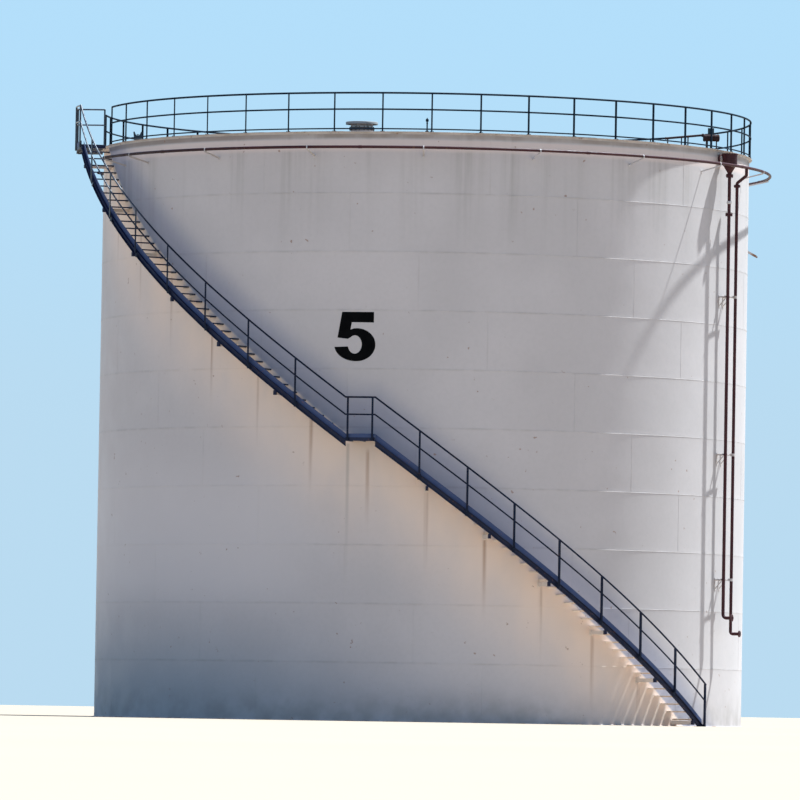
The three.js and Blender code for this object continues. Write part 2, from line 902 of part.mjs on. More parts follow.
addPiece("foam_chamber", foamChamber, pipePaint);

// Riser brackets: a cross bar on two arms from a foot plate on the shell
riserBracketLevels.forEach((level, index) => {
  const middle = (foamAngle + coolingAngle) / 2;
  const bottom = level - bracketBarHeight / 2;
  const top = level + bracketBarHeight / 2;
  const near = [level - 2 * bracketBarHeight, level + 2 * bracketBarHeight];
  const riserSpace = joined([
    uprightPipe(foamAngle, riserRadius, ...near, foamPipe + 2 * seatGap, pipeSides),
    uprightPipe(coolingAngle, riserRadius, ...near, coolingPipe + 2 * seatGap, pipeSides),
  ]);
  const bar = radialBlock(middle, riserRadius - 80, riserRadius - 20, bottom, top, bracketBarLength);
  const arms = [foamAngle + bracketArmInset, coolingAngle - bracketArmInset].map((angle) =>
    radialBlock(angle, insideShell, riserRadius - 30, bottom, top, bracketArmWidth),
  );
  const foot = radialBlock(middle, insideShell, faceRadius + bracketFootThickness,
    top - bracketFootHeight, top, bracketFootWidth);
  const bracket = onShell(joined([bar, foot, ...arms])).subtract(riserSpace);
  addPiece(`riser_bracket_${index + 1}`, bracket, pipePaint);
});

// Shell manhole and outlet nozzle, on the bottom course at the back
const coverInner = shellRadius + manholeReach - 60;
const manhole = onShell(
  joined([
    radialPipe(manholeAngle, insideShell, coverInner + 20, manholeLevel, manholeNeck, drumSides),
    radialPipe(manholeAngle, coverInner, shellRadius + manholeReach, manholeLevel, manholeCover, drumSides),
  ]),
);
addPiece("shell_manhole", manhole, shellPaint);

const outletEnd = shellRadius + outletReach;
const outlet = onShell(
  joined([
    radialPipe(outletAngle, insideShell, outletEnd - overlap, outletLevel, outletPipe, 14),
    radialPipe(outletAngle, outletEnd - stubFlangeThickness, outletEnd, outletLevel, outletFlange, 14),
  ]),
);
addPiece("outlet_nozzle", outlet, shellPaint);

export default tank;
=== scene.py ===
import math

import bpy
from mathutils import Matrix, Vector


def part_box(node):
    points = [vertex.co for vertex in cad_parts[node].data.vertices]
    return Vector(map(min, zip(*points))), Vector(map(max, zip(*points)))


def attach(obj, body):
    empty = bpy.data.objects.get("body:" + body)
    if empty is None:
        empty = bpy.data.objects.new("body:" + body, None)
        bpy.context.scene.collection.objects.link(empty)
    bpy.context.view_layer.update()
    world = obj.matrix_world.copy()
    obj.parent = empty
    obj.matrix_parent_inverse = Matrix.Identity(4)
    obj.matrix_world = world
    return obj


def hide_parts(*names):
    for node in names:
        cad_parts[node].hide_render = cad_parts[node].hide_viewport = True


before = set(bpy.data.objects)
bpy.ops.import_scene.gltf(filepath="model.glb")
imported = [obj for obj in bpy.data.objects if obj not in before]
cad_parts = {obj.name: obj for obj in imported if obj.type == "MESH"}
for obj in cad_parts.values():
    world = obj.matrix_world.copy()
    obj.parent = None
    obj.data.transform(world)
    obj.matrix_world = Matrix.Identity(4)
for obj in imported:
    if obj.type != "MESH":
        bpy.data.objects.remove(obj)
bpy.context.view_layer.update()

# Viewpoint: a long lens near the ground, 208 m away from the tank's axis, looking a little up
# and held slightly out of level, as the photograph was taken. Lengths are in metres.
lens_length = 351.7
viewer_distance = 207.97
eye_height = 0.293
tilt_up = math.radians(2.273)
turn_left = math.radians(0.166)
roll = math.radians(0.951)
bpy.ops.object.camera_add()
camera = bpy.context.object
camera.matrix_world = (
    Matrix.Translation((0, -viewer_distance, eye_height))
    @ Matrix.Rotation(turn_left, 4, "Z")
    @ Matrix.Rotation(math.radians(90) + tilt_up, 4, "X")
    @ Matrix.Rotation(roll, 4, "Z")
)
camera.data.sensor_width = 36
camera.data.lens = lens_length
camera.data.clip_end = 4000
bpy.context.scene.camera = camera
bpy.context.scene.view_settings.view_transform = "Standard"


# Light and ground: a sun behind the tank on the right, a pale sky all round, and a wide pale floor
# that throws warm light back up on the shell. Angles here and below are degrees from the viewer's
# side of the tank, growing to the right, so 90 is the right-hand side and 180 the back.
def bearing_matrix(angle, radius=0.0, level=0.0):
    """Carries what was made with x outward and y along the shell to its place round the tank."""
    turn = Matrix.Rotation(math.radians(angle - 90), 4, "Z")
    return turn @ Matrix.Translation((radius, 0, level))


sun_bearing = 124.5
sun_height = 64
bpy.ops.object.light_add(type="SUN")
sun = bpy.context.object
rise = math.radians(sun_height)
toward_sun = bearing_matrix(sun_bearing) @ Vector((math.cos(rise), 0, math.sin(rise)))
sun.matrix_world = toward_sun.to_track_quat("Z", "Y").to_matrix().to_4x4()
sun.data.energy = 12.1
sun.data.color = (0.835, 0.945, 0.985)
sun.data.angle = math.radians(1.1)


def add_node(tree, kind, values=None, **settings):
    """Adds a shader node, with each socket joined to another node's or set to a plain value."""
    made = tree.nodes.new("ShaderNode" + kind)
    for name, value in settings.items():
        setattr(made, name, value)
    for socket, value in (values or {}).items():
        if isinstance(value, bpy.types.NodeSocket):
            tree.links.new(value, made.inputs[socket])
        else:
            made.inputs[socket].default_value = value
    return made


def calc(tree, operation, first, second=0.0):
    return add_node(tree, "Math", {0: first, 1: second}, operation=operation).outputs[0]


def times(tree, first, second):
    return calc(tree, "MULTIPLY", first, second)


def axes_of(tree, where):
    """The x, y and z of a place, which are numbered 0, 1 and 2."""
    return add_node(tree, "SeparateXYZ", {0: where}).outputs


def between(tree, value, low, high, at_low=0.0, at_high=1.0):
    """Goes smoothly from at_low to at_high while the value goes from low to high."""
    values = {"Value": value, "From Min": low, "From Max": high, "To Min": at_low, "To Max": at_high}
    return add_node(tree, "MapRange", values, interpolation_type="SMOOTHSTEP").outputs[0]


def blended(tree, share, under, over, way="MIX"):
    made = add_node(tree, "Mix", {0: share, 6: under, 7: over}, data_type="RGBA", blend_type=way)
    return made.outputs[2]


def clouds(tree, where, scale, detail=4.0, stretch=(1, 1, 1)):
    """A noise from 0 to 1; a small stretch along an axis draws it out along that axis."""
    moved = add_node(tree, "Mapping", {"Vector": where, "Scale": stretch}).outputs[0]
    return add_node(tree, "TexNoise", {"Vector": moved, "Scale": scale, "Detail": detail}).outputs[0]


def new_finish(name, roughness, metallic=0.0):
    finish = bpy.data.materials.new(name)
    finish.use_nodes = True
    shader = finish.node_tree.nodes["Principled BSDF"]
    shader.inputs["Roughness"].default_value = roughness
    shader.inputs["Metallic"].default_value = metallic
    where = add_node(finish.node_tree, "TexCoord").outputs["Object"]
    return finish, finish.node_tree, shader, where


sky = bpy.data.worlds.new("pale_sky")
sky.use_nodes = True
bpy.context.scene.world = sky
tree = sky.node_tree
sky_height = axes_of(tree, add_node(tree, "TexCoord").outputs["Generated"])[2]
low_share = between(tree, sky_height, 0.03, 0.09)
low_sky = blended(tree, low_share, (0.49, 0.71, 0.88, 1), (0.457, 0.738, 0.965, 1))
sky_tone = blended(tree, between(tree, sky_height, 0.05, 0.85), low_sky, (0.16, 0.25, 0.565, 1))
tree.links.new(sky_tone, tree.nodes["Background"].inputs["Color"])

floor_paint, tree, shader, where = new_finish("pale_floor", 0.9)
floor_tone = blended(tree, clouds(tree, where, 0.05), (0.320, 0.248, 0.182, 1), (0.362, 0.279, 0.204, 1))
tree.links.new(floor_tone, shader.inputs["Base Color"])
floor_size = 3200
bpy.ops.object.select_all(action="DESELECT")
bpy.ops.mesh.primitive_plane_add(size=floor_size)
floor = bpy.context.object
floor.name = "floor"
floor.data.materials.append(floor_paint)


# Bottom plate: the tank stands on a disc of 10 mm plate that shows as a narrow ledge round the
# shell. It is welded to the lowest course and lies on the foundation.
def clear_selection():
    if bpy.context.object and bpy.context.object.mode == "EDIT":
        bpy.ops.object.mode_set(mode="OBJECT")
    bpy.ops.object.select_all(action="DESELECT")


def editing(piece):
    """Goes into edit mode on one piece, with all of it selected."""
    clear_selection()
    piece.select_set(True)
    bpy.context.view_layer.objects.active = piece
    bpy.ops.object.mode_set(mode="EDIT")
    bpy.ops.mesh.select_all(action="SELECT")


def turned(profile, sides, closed=True):
    """A ring about the Z axis through (radius, level) points, or a solid if it isn't closed."""
    clear_selection()
    radius, level = profile[0]
    bpy.ops.mesh.primitive_circle_add(vertices=sides, radius=radius, location=(0, 0, level))
    bpy.ops.object.transform_apply(location=True)
    piece = bpy.context.object
    editing(piece)
    for next_radius, next_level in profile[1:] + (profile[:1] if closed else ()):
        climb = next_level - level
        bpy.ops.mesh.extrude_region_move(TRANSFORM_OT_translate={"value": (0, 0, climb)})
        growth = next_radius / radius
        bpy.ops.transform.resize(value=(growth, growth, 1), center_override=(0, 0, next_level))
        radius, level = next_radius, next_level
    bpy.ops.mesh.select_all(action="SELECT")
    bpy.ops.mesh.remove_doubles(threshold=1e-5)
    if not closed:
        bpy.ops.mesh.fill_holes(sides=0)
    bpy.ops.mesh.normals_make_consistent(inside=False)
    bpy.ops.object.mode_set(mode="OBJECT")
    return piece


def finished(piece, name, finish, slot, *nodes, edge=35):
    """Names a piece, gives it its finish, and sets it in the frame in place of its nodes."""
    piece.name = name
    piece.data.name = name
    piece.data.materials.clear()
    piece.data.materials.append(finish)
    clear_selection()
    piece.select_set(True)
    bpy.context.view_layer.objects.active = piece
    bpy.ops.object.shade_smooth_by_angle(angle=math.radians(edge))
    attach(piece, "root")
    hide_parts(*nodes)
    return piece


def shell_colours(tree, where, cloud_scale):
    """The off-white paint's own tone, which wanders a little from place to place."""
    tone = blended(
        tree,
        between(tree, clouds(tree, where, cloud_scale, 5.0), 0.3, 0.7),
        (0.50, 0.445, 0.435, 1),
        (0.55, 0.490, 0.480, 1),
    )
    fine = between(tree, clouds(tree, where, 9.0, 6.0), 0.35, 0.75, 0.0, 0.12)
    return blended(tree, fine, tone, (0.40, 0.36, 0.34, 1))


rust_brown = (0.23, 0.10, 0.045, 1)
edge_paint, tree, shader, where = new_finish("stained_plate_edge", 0.75)
rust_share = between(tree, clouds(tree, where, 3.5, 6.0), 0.42, 0.62)
edge_tone = blended(tree, rust_share, shell_colours(tree, where, 1.0), rust_brown)
tree.links.new(edge_tone, shader.inputs["Base Color"])

tank_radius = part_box("shell_course_05")[1].x
bottom_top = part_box("bottom_plate")[1].z
bottom_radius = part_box("bottom_plate")[1].x
plate_sides = 288
bottom = turned(
    (
        (bottom_radius, 0), (bottom_radius, bottom_top - 0.002), (bottom_radius - 0.002, bottom_top),
        (tank_radius, bottom_top), (0, bottom_top),
    ),
    plate_sides,
    closed=False,
)
finished(bottom, "bottom_plate_disc", edge_paint, "shell_paint", "bottom_plate")

# Shell courses: ten rings of plate rolled to the tank's radius, 1.5 m high and 8 to 12 mm thick.
# Each stands on the one below, and the weld's shrinking has made the edges stand a little proud.
shell_paint, tree, shader, where = new_finish("weathered_shell_paint", 0.55)
course_height = 1.5
plates_round = 9
plate_span = 360 / plates_round
first_seam = 11
seam_shift = 12


def bearing_of(tree, axes):
    """The bearing of a place, in degrees."""
    turn = calc(tree, "ARCTAN2", axes[0], times(tree, axes[1], -1.0))
    return times(tree, turn, 180 / math.pi)


axes = axes_of(tree, where)
bearing = bearing_of(tree, axes)
level = axes[2]
row = calc(tree, "FLOOR", calc(tree, "DIVIDE", level, course_height))
row_shift = times(tree, calc(tree, "MODULO", row, 3.0), -seam_shift)
from_seam = calc(tree, "SUBTRACT", calc(tree, "SUBTRACT", bearing, first_seam), row_shift)
plates_along = calc(tree, "DIVIDE", from_seam, plate_span)
plate_number = add_node(tree, "CombineXYZ", {0: row, 1: calc(tree, "FLOOR", plates_along)}).outputs[0]
plate_tone = add_node(tree, "TexWhiteNoise", {"Vector": plate_number}, noise_dimensions="3D").outputs[0]


def near_line(tree, value, period, reach):
    """1 on lines that are a period apart and 0 from a reach away, in the value's own unit."""
    part = calc(tree, "FRACT", calc(tree, "ADD", calc(tree, "DIVIDE", value, period), 0.5))
    away = calc(tree, "ABSOLUTE", calc(tree, "SUBTRACT", part, 0.5))
    return between(tree, away, 0.0, reach / period, 1.0, 0.0)


def rise_and_fall(tree, value, rise, fall, most=1.0):
    """Grows from 0 to its most over one stretch of the value, and goes back to 0 over another."""
    return times(tree, between(tree, value, *rise), between(tree, value, *fall, most, 0.0))


paint_tone = shell_colours(tree, where, 0.35)
paint_tone = blended(
    tree, between(tree, plate_tone, 0.0, 1.0, 0.0, 0.08), paint_tone, (0.42, 0.40, 0.40, 1)
)
long_streaks = clouds(tree, where, 1.6, 6.0, (1, 1, 0.045))
thin_streaks = clouds(tree, where, 7.0, 4.0, (1, 1, 0.03))
streaks = times(tree, between(tree, long_streaks, 0.45, 0.72), between(tree, thin_streaks, 0.3, 0.7))

# Grime under the rim, on the seams and at the foot, with painted shade under the rim; low on the left,
# painted shade at the foot and a lighter band of painted light
grime = (0.30, 0.265, 0.24, 1)
under_rim = times(tree, between(tree, level, 11.5, 14.9), 0.55)
paint_tone = blended(tree, times(tree, under_rim, streaks), paint_tone, grime)
rim_warmth = rise_and_fall(tree, level, (14.52, 14.64), (14.84, 14.9), 0.8)
paint_tone = blended(tree, rim_warmth, paint_tone, (0.66, 0.53, 0.485, 1))
# Just under the rim: dirt mixed with painted shade from the curb's ledge, and more painted shade on the
# left.
rim_cloud = between(tree, clouds(tree, where, 1.3, 5.0, (1, 1, 0.4)), 0.3, 0.7, 0.4, 0.95)
shell_rim_dirt_and_shade = times(tree, between(tree, level, 14.87, 14.94), rim_cloud)
paint_tone = blended(tree, shell_rim_dirt_and_shade, paint_tone, (0.28, 0.225, 0.195, 1))
rim_shade = times(tree, between(tree, level, 14.86, 14.93), between(tree, axes[0], -6.0, -2.2, 0.7, 0.0))
paint_tone = blended(tree, rim_shade, paint_tone, (0.25, 0.20, 0.185, 1))
seam_line = near_line(tree, level, course_height, 0.05)
seam_share = times(tree, seam_line, between(tree, clouds(tree, where, 2.5, 5.0), 0.35, 0.7, 0.02, 0.3))
paint_tone = blended(tree, seam_share, paint_tone, grime)
upright_line = near_line(tree, from_seam, plate_span, 0.25)
upright_share = times(tree, upright_line, between(tree, clouds(tree, where, 1.2, 4.0), 0.4, 0.7, 0.0, 0.15))
paint_tone = blended(tree, upright_share, paint_tone, grime)
foot_share = times(
    tree, between(tree, level, 0.0, 1.1, 0.55, 0.0), between(tree, clouds(tree, where, 2.0, 6.0), 0.3, 0.7)
)
paint_tone = blended(tree, foot_share, paint_tone, grime)
# Painted shade: the foot on the left is darker and bluer.
painted_foot_shade = times(
    tree, between(tree, level, 0.4, 3.0, 1.0, 0.0), between(tree, axes[0], -7.0, -0.5, 1.0, 0.0)
)
paint_tone = blended(tree, painted_foot_shade, paint_tone, (0.70, 0.80, 0.86, 1), "MULTIPLY")
# Painted light: a lighter band low on the left, in place of warm light thrown up from the ground.
painted_light_band = rise_and_fall(tree, level, (2.4, 3.8), (5.0, 8.0), 0.8)
painted_light_band = times(tree, painted_light_band, between(tree, axes[0], -4.5, -2.0, 1.0, 0.0))
paint_tone = blended(tree, painted_light_band, paint_tone, (0.61, 0.54, 0.525, 1))

# Below the stair a warm stain with painted warm light, and above it painted shade. Both follow the
# stair's line, which falls by 0.119 m a degree, apart from the level landing.
landing_start = -7.4
landing_end = -12.1
landing_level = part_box("stair_landing")[1].z
fall_rate = 0.1191
past_start = calc(tree, "MAXIMUM", calc(tree, "SUBTRACT", bearing, landing_start), 0.0)
past_end = calc(tree, "MAXIMUM", calc(tree, "SUBTRACT", landing_end, bearing), 0.0)
stair_line = calc(
    tree, "ADD", times(tree, calc(tree, "SUBTRACT", past_end, past_start), fall_rate), landing_level
)
below_stair = calc(tree, "SUBTRACT", stair_line, level)
# A real stain and painted warm light below the stair line.
stain_and_light_fade = rise_and_fall(tree, below_stair, (-0.03, 0.03), (0.2, 3.8))
stain_and_light_cloud = between(tree, clouds(tree, where, 0.9, 6.0, (1, 1, 0.5)), 0.28, 0.68, 0.6, 1.0)
paint_tone = blended(tree, times(tree, stain_and_light_fade, stain_and_light_cloud), paint_tone, (0.755, 0.585, 0.490, 1))
# Painted shade above the stair line.
painted_shade_above_stair = rise_and_fall(tree, below_stair, (-1.7, -0.7), (-0.06, 0.0))
paint_tone = blended(tree, painted_shade_above_stair, paint_tone, (0.68, 0.72, 0.84, 1), "MULTIPLY")

# Rust below the arms that carry the stair, a dark run below its landing, and specks of rust
first_arm = 0.9
arm_spacing = 10.1
arm_runs = near_line(tree, calc(tree, "SUBTRACT", bearing, first_arm), arm_spacing, 0.55)
run_fade = rise_and_fall(tree, below_stair, (0.2, 0.4), (0.5, 2.6), 0.55)
run_share = times(tree, times(tree, arm_runs, run_fade), between(tree, thin_streaks, 0.35, 0.6))
paint_tone = blended(tree, run_share, paint_tone, rust_brown)
run_bearing = -12.7
from_run = calc(tree, "ABSOLUTE", calc(tree, "SUBTRACT", bearing, run_bearing))
landing_run = between(tree, from_run, 0.05, 0.45, 1.0, 0.0)
landing_fade = rise_and_fall(tree, level, (3.2, 6.9), (7.05, 7.1), 0.45)
paint_tone = blended(tree, times(tree, landing_run, landing_fade), paint_tone, grime)
specks = between(tree, clouds(tree, where, 5.5, 3.0), 0.71, 0.76, 0.0, 0.6)
paint_tone = blended(tree, specks, paint_tone, rust_brown)
tree.links.new(paint_tone, shader.inputs["Base Color"])
shader.inputs["Specular IOR Level"].default_value = 0.25
sheen_level = between(tree, clouds(tree, where, 1.5, 4.0), 0.3, 0.7, 0.5, 0.66)
tree.links.new(sheen_level, shader.inputs["Roughness"])


def bumps(tree, height, strength, depth, under=None):
    """Small unevenness of a surface, over another one if that is given."""
    values = {"Height": height, "Strength": strength, "Distance": depth}
    if under:
        values["Normal"] = under
    return add_node(tree, "Bump", values).outputs[0]


dents = bumps(tree, clouds(tree, where, 0.9, 2.0), 0.25, 0.03)
brush_marks = bumps(tree, clouds(tree, where, 45.0, 3.0), 0.15, 0.002, dents)
tree.links.new(brush_marks, shader.inputs["Normal"])

plate_thickness = (0.012, 0.012, 0.010, 0.010, 0.008, 0.008, 0.008, 0.008, 0.008, 0.008)
proud_edge = ((0.0, 0.0022), (0.025, 0.0016), (0.06, 0.0007), (0.12, 0.0))
course_levels = []
for number, thickness in enumerate(plate_thickness, 1):
    node = f"shell_course_{number:02d}"
    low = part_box(node)[0].z
    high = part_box(node)[1].z
    course_levels.append((low, high))
    rising = tuple((tank_radius + proud, low + away) for away, proud in proud_edge)
    falling = tuple((tank_radius + proud, high - away) for away, proud in reversed(proud_edge))
    inside = ((tank_radius - thickness, high), (tank_radius - thickness, low))
    plate_ring = turned(rising + falling + inside, plate_sides)
    finished(plate_ring, f"plate_ring_{number:02d}", shell_paint, "shell_paint", node)


# Weld beads: every joint of the shell's plates is welded from outside, which leaves a bead of
# weld metal 20 mm wide. The upright ones are staggered from course to course.
def joined(pieces):
    clear_selection()
    for piece in pieces:
        piece.select_set(True)
    bpy.context.view_layer.objects.active = pieces[0]
    bpy.ops.object.join()
    return pieces[0]


def twin_of(piece):
    """A second piece of the same shape with its own mesh."""
    twin = piece.copy()
    twin.data = piece.data.copy()
    bpy.context.collection.objects.link(twin)
    return twin


def copied(piece, places):
    """One piece made of copies of another, moved each to its own place."""
    twins = []
    for place in places:
        twins.append(twin_of(piece))
        twins[-1].data.transform(place)
    bpy.data.objects.remove(piece)
    return joined(twins)


def stepped(radius, level, steps):
    """The points of a profile, given as steps outwards and up from one radius and level."""
    return tuple((radius + outward, level + up) for outward, up in steps)


bead_radius = 0.010
bead_depth = 0.0045
bead_centre = tank_radius - bead_depth
clear_selection()
bpy.ops.mesh.primitive_torus_add(
    major_radius=bead_centre, minor_radius=bead_radius, major_segments=plate_sides, minor_segments=6
)
girth_bead = bpy.context.object
girth_beads = copied(girth_bead, [Matrix.Translation((0, 0, high)) for low, high in course_levels])
fillet_steps = ((-0.002, 0), (0.010, 0), (0.007, 0.006), (-0.002, 0.012))
foot_fillet = turned(stepped(tank_radius, bottom_top, fillet_steps), plate_sides)
finished(joined([girth_beads, foot_fillet]), "girth_weld_beads", shell_paint, "shell_paint")

upright_bead = turned(((0.011, 0), (0.0095, 0.5), (0.0105, 1.0), (0.0100, course_height)), 6, closed=False)
upright_depth = 0.006
upright_places = []
for number, (low, high) in enumerate(course_levels):
    foot = high - course_height
    for plate in range(plates_round):
        seam_bearing = first_seam - seam_shift * (number % 3) + plate * plate_span
        if foot >= 0:
            upright_places.append(bearing_matrix(seam_bearing, tank_radius - upright_depth, foot))
upright_beads = copied(upright_bead, upright_places)
finished(upright_beads, "upright_weld_beads", shell_paint, "shell_paint")

# Curb angle: a rolled steel angle welded to the top of the shell. Its flat leg points outwards
# and carries the edge of the roof and the feet of the railing.
trim_paint, tree, shader, where = new_finish("weathered_trim_paint", 0.6)
trim_dirt = between(tree, clouds(tree, where, 2.2, 6.0, (1, 1, 0.3)), 0.4, 0.75, 0.0, 0.55)
trim_tone = blended(tree, trim_dirt, shell_colours(tree, where, 1.1), (0.33, 0.27, 0.22, 1))
trim_rust = between(tree, clouds(tree, where, 6.0, 5.0), 0.62, 0.72, 0.0, 0.8)
trim_tone = blended(tree, trim_rust, trim_tone, rust_brown)
trim_level = axes_of(tree, where)[2]
# Dirt and painted shade on the curb under its flat leg, lighter along its top.
curb_dirt_and_shade = times(
    tree, between(tree, trim_level, 14.90, 14.93), between(tree, trim_level, 14.992, 14.998, 1.0, 0.35)
)
curb_dirt_and_shade = times(tree, curb_dirt_and_shade, between(tree, trim_dirt, 0.0, 0.3, 0.5, 0.85))
trim_tone = blended(tree, curb_dirt_and_shade, trim_tone, (0.25, 0.205, 0.18, 1))
tree.links.new(trim_tone, shader.inputs["Base Color"])
tree.links.new(bumps(tree, clouds(tree, where, 60.0, 3.0), 0.2, 0.002), shader.inputs["Normal"])

rim_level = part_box("curb_angle")[1].z
curb_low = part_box("curb_angle")[0].z
curb_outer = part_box("curb_angle")[1].x
curb_thickness = 0.010
curb_inner = tank_radius - curb_thickness
leg_low = rim_level - curb_thickness
curb_foot = ((curb_inner, curb_low), (tank_radius, curb_low))
inner_corner = stepped(tank_radius, leg_low, ((0, -0.006), (0.002, -0.002), (0.006, 0)))
outer_edge = stepped(curb_outer, leg_low, ((-0.003, 0), (0, 0.003)))
outer_edge += stepped(curb_outer, rim_level, ((0, -0.001), (-0.001, 0)))
curb = turned(curb_foot + inner_corner + outer_edge + ((curb_inner, rim_level),), plate_sides)
finished(curb, "curb_ring", trim_paint, "shell_paint", "curb_angle")


# Roof plates: a low cone of thin plates cut as sectors, each lapped on the next one and welded
# along the lap, with a round plate over their points in the middle.
def shaped_by(piece, kind, **settings):
    """Finishes a piece with a modifier and applies it."""
    clear_selection()
    modifier = piece.modifiers.new(kind.lower(), kind)
    for name, value in settings.items():
        setattr(modifier, name, value)
    bpy.context.view_layer.objects.active = piece
    bpy.ops.object.modifier_apply(modifier=modifier.name)


def section(outline):
    """A closed outline of (outward, up) points that stands in the plane of x and z."""
    clear_selection()
    bpy.ops.mesh.primitive_circle_add(vertices=len(outline))
    piece = bpy.context.object
    for corner, (outward, up) in zip(piece.data.vertices, outline):
        corner.co = (outward, 0, up)
    return piece


def closed_up(piece):
    """Fills the open ends of a piece and turns its faces outwards."""
    editing(piece)
    bpy.ops.mesh.remove_doubles(threshold=1e-5)
    bpy.ops.mesh.fill_holes(sides=0)
    bpy.ops.mesh.normals_make_consistent(inside=False)
    bpy.ops.object.mode_set(mode="OBJECT")
    return piece


def bent(piece, from_angle, to_angle, climb=0.0, step=1.0):
    """Sweeps a section round the tank's axis and up by climb, and closes both ends."""
    piece.data.transform(bearing_matrix(from_angle))
    steps = max(2, round((to_angle - from_angle) / step))
    shaped_by(
        piece,
        "SCREW",
        axis="Z",
        angle=math.radians(to_angle - from_angle),
        screw_offset=climb,
        steps=steps,
        render_steps=steps,
    )
    return closed_up(piece)


roof_paint, tree, shader, where = new_finish("weathered_roof_paint", 0.65)
roof_dirt = between(tree, clouds(tree, where, 0.8, 7.0), 0.35, 0.72, 0.0, 0.5)
roof_tone = blended(tree, clouds(tree, where, 0.6, 5.0), (0.135, 0.118, 0.100, 1), (0.175, 0.154, 0.132, 1))
roof_tone = blended(tree, roof_dirt, roof_tone, (0.095, 0.079, 0.065, 1))
roof_sectors = 24
lap_dirt = near_line(tree, bearing_of(tree, axes_of(tree, where)), 360 / roof_sectors, 0.6)
lap_dirt = times(tree, lap_dirt, between(tree, clouds(tree, where, 1.5, 4.0), 0.3, 0.6, 0.15, 0.6))
roof_tone = blended(tree, lap_dirt, roof_tone, (0.07, 0.05, 0.04, 1))
roof_rust = between(tree, clouds(tree, where, 3.0, 6.0), 0.63, 0.72, 0.0, 0.7)
roof_tone = blended(tree, roof_rust, roof_tone, rust_brown)
tree.links.new(roof_tone, shader.inputs["Base Color"])
tree.links.new(bumps(tree, clouds(tree, where, 1.4, 3.0), 0.3, 0.02), shader.inputs["Normal"])

roof_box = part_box("roof_plates")
roof_edge = roof_box[1].x
roof_rise = roof_box[1].z - roof_box[0].z - 0.008
roof_seat = roof_box[0].z
roof_sheet = 0.005
sector_lap = 0.4
sector_inner = 0.35
lap_lift = 0.006


def roof_level(radius):
    return roof_seat + roof_rise * (1 - radius / roof_edge)


sector = bent(
    section(
        (
            (sector_inner, roof_level(sector_inner)), (roof_edge - 0.002, roof_level(roof_edge)),
            (roof_edge, roof_level(roof_edge) + roof_sheet / 2),
            (roof_edge - 0.002, roof_level(roof_edge) + roof_sheet),
            (roof_edge / 2, roof_level(roof_edge / 2) + roof_sheet),
            (sector_inner, roof_level(sector_inner) + roof_sheet),
        )
    ),
    90,
    90 + 360 / roof_sectors + sector_lap,
    lap_lift,
    2.6,
)
sectors = copied(
    sector, [bearing_matrix(90 + number * 360 / roof_sectors) for number in range(roof_sectors)]
)
middle_radius = 0.62
middle_level = roof_level(middle_radius) + 0.012
roof_middle = turned(
    (
        (middle_radius, middle_level), (middle_radius - 0.004, middle_level + 0.008),
        (0.30, roof_level(0.30) + 0.020), (0, roof_level(0) + 0.014),
    ),
    72,
    closed=False,
)
seam_profile = ((4.50, 0.004), (4.53, 0.016), (4.57, 0.016), (4.60, 0.004))
ring_seam = turned(tuple((radius, roof_level(radius) + up) for radius, up in seam_profile), plate_sides)
finished(joined([sectors, roof_middle, ring_seam]), "roof_cone", roof_paint, "shell_paint", "roof_plates")


# Vent neck: a short neck of rolled steel plate on a round pad that is welded to the roof left of
# its middle. The tank breathes through it.
def moved(piece, place):
    piece.data.transform(place)
    return piece


def at(x=0.0, y=0.0, z=0.0):
    return Matrix.Translation((x, y, z))


def about(axis, degrees):
    return Matrix.Rotation(math.radians(degrees), 4, axis)


def block(low, high, edge=0.002):
    """A plate or bar between two corners, with its edges rounded off a little."""
    clear_selection()
    bpy.ops.mesh.primitive_cube_add(size=1)
    piece = bpy.context.object
    size = [top - bottom for bottom, top in zip(low, high)]
    middle = [(top + bottom) / 2 for bottom, top in zip(low, high)]
    moved(piece, at(*middle) @ Matrix.Diagonal((*size, 1)))
    shaped_by(piece, "BEVEL", width=edge, segments=1)
    return piece


def fastener(across, stub=0.5):
    """A washer, a six-sided nut with its corners taken off, and the end of the bolt above it."""
    washer = turned(((across * 0.58, 0), (across * 0.58, across * 0.12)), 12, closed=False)
    nut = turned(
        (
            (across * 0.50, across * 0.12), (across * 0.55, across * 0.18), (across * 0.55, across * 0.52),
            (across * 0.48, across * 0.58),
        ),
        6,
        closed=False,
    )
    end = turned(((across * 0.28, across * 0.5), (across * 0.28, across * (0.58 + stub)),), 8, closed=False)
    return joined([washer, nut, end])


def ring_of(piece, count, radius, level=0.0, turn=0.0):
    """Copies of a piece spaced evenly on a circle round the Z axis."""
    turns = [turn + 360 * number / count for number in range(count)]
    return copied(piece, [about("Z", degrees) @ at(radius, 0, level) for degrees in turns])


def flanged_joint(pipe_radius, flange_radius, low, high, count, across):
    """Two flanges with a gasket between them and bolts through both, about the Z axis."""
    middle = (low + high) / 2
    soft = 0.0015
    plates = turned(
        (
            (pipe_radius, low), (flange_radius - soft, low), (flange_radius, low + soft),
            (flange_radius, middle - 0.002), (flange_radius - 0.012, middle - 0.002),
            (flange_radius - 0.012, middle + 0.002), (flange_radius, middle + 0.002),
            (flange_radius, high - soft), (flange_radius - soft, high), (pipe_radius, high),
        ),
        32,
    )
    circle = flange_radius - 0.75 * across
    upper = ring_of(fastener(across), count, circle, high, 180 / count)
    lower = ring_of(moved(fastener(across), about("X", 180)), count, circle, low, 180 / count)
    return joined([plates, upper, lower])


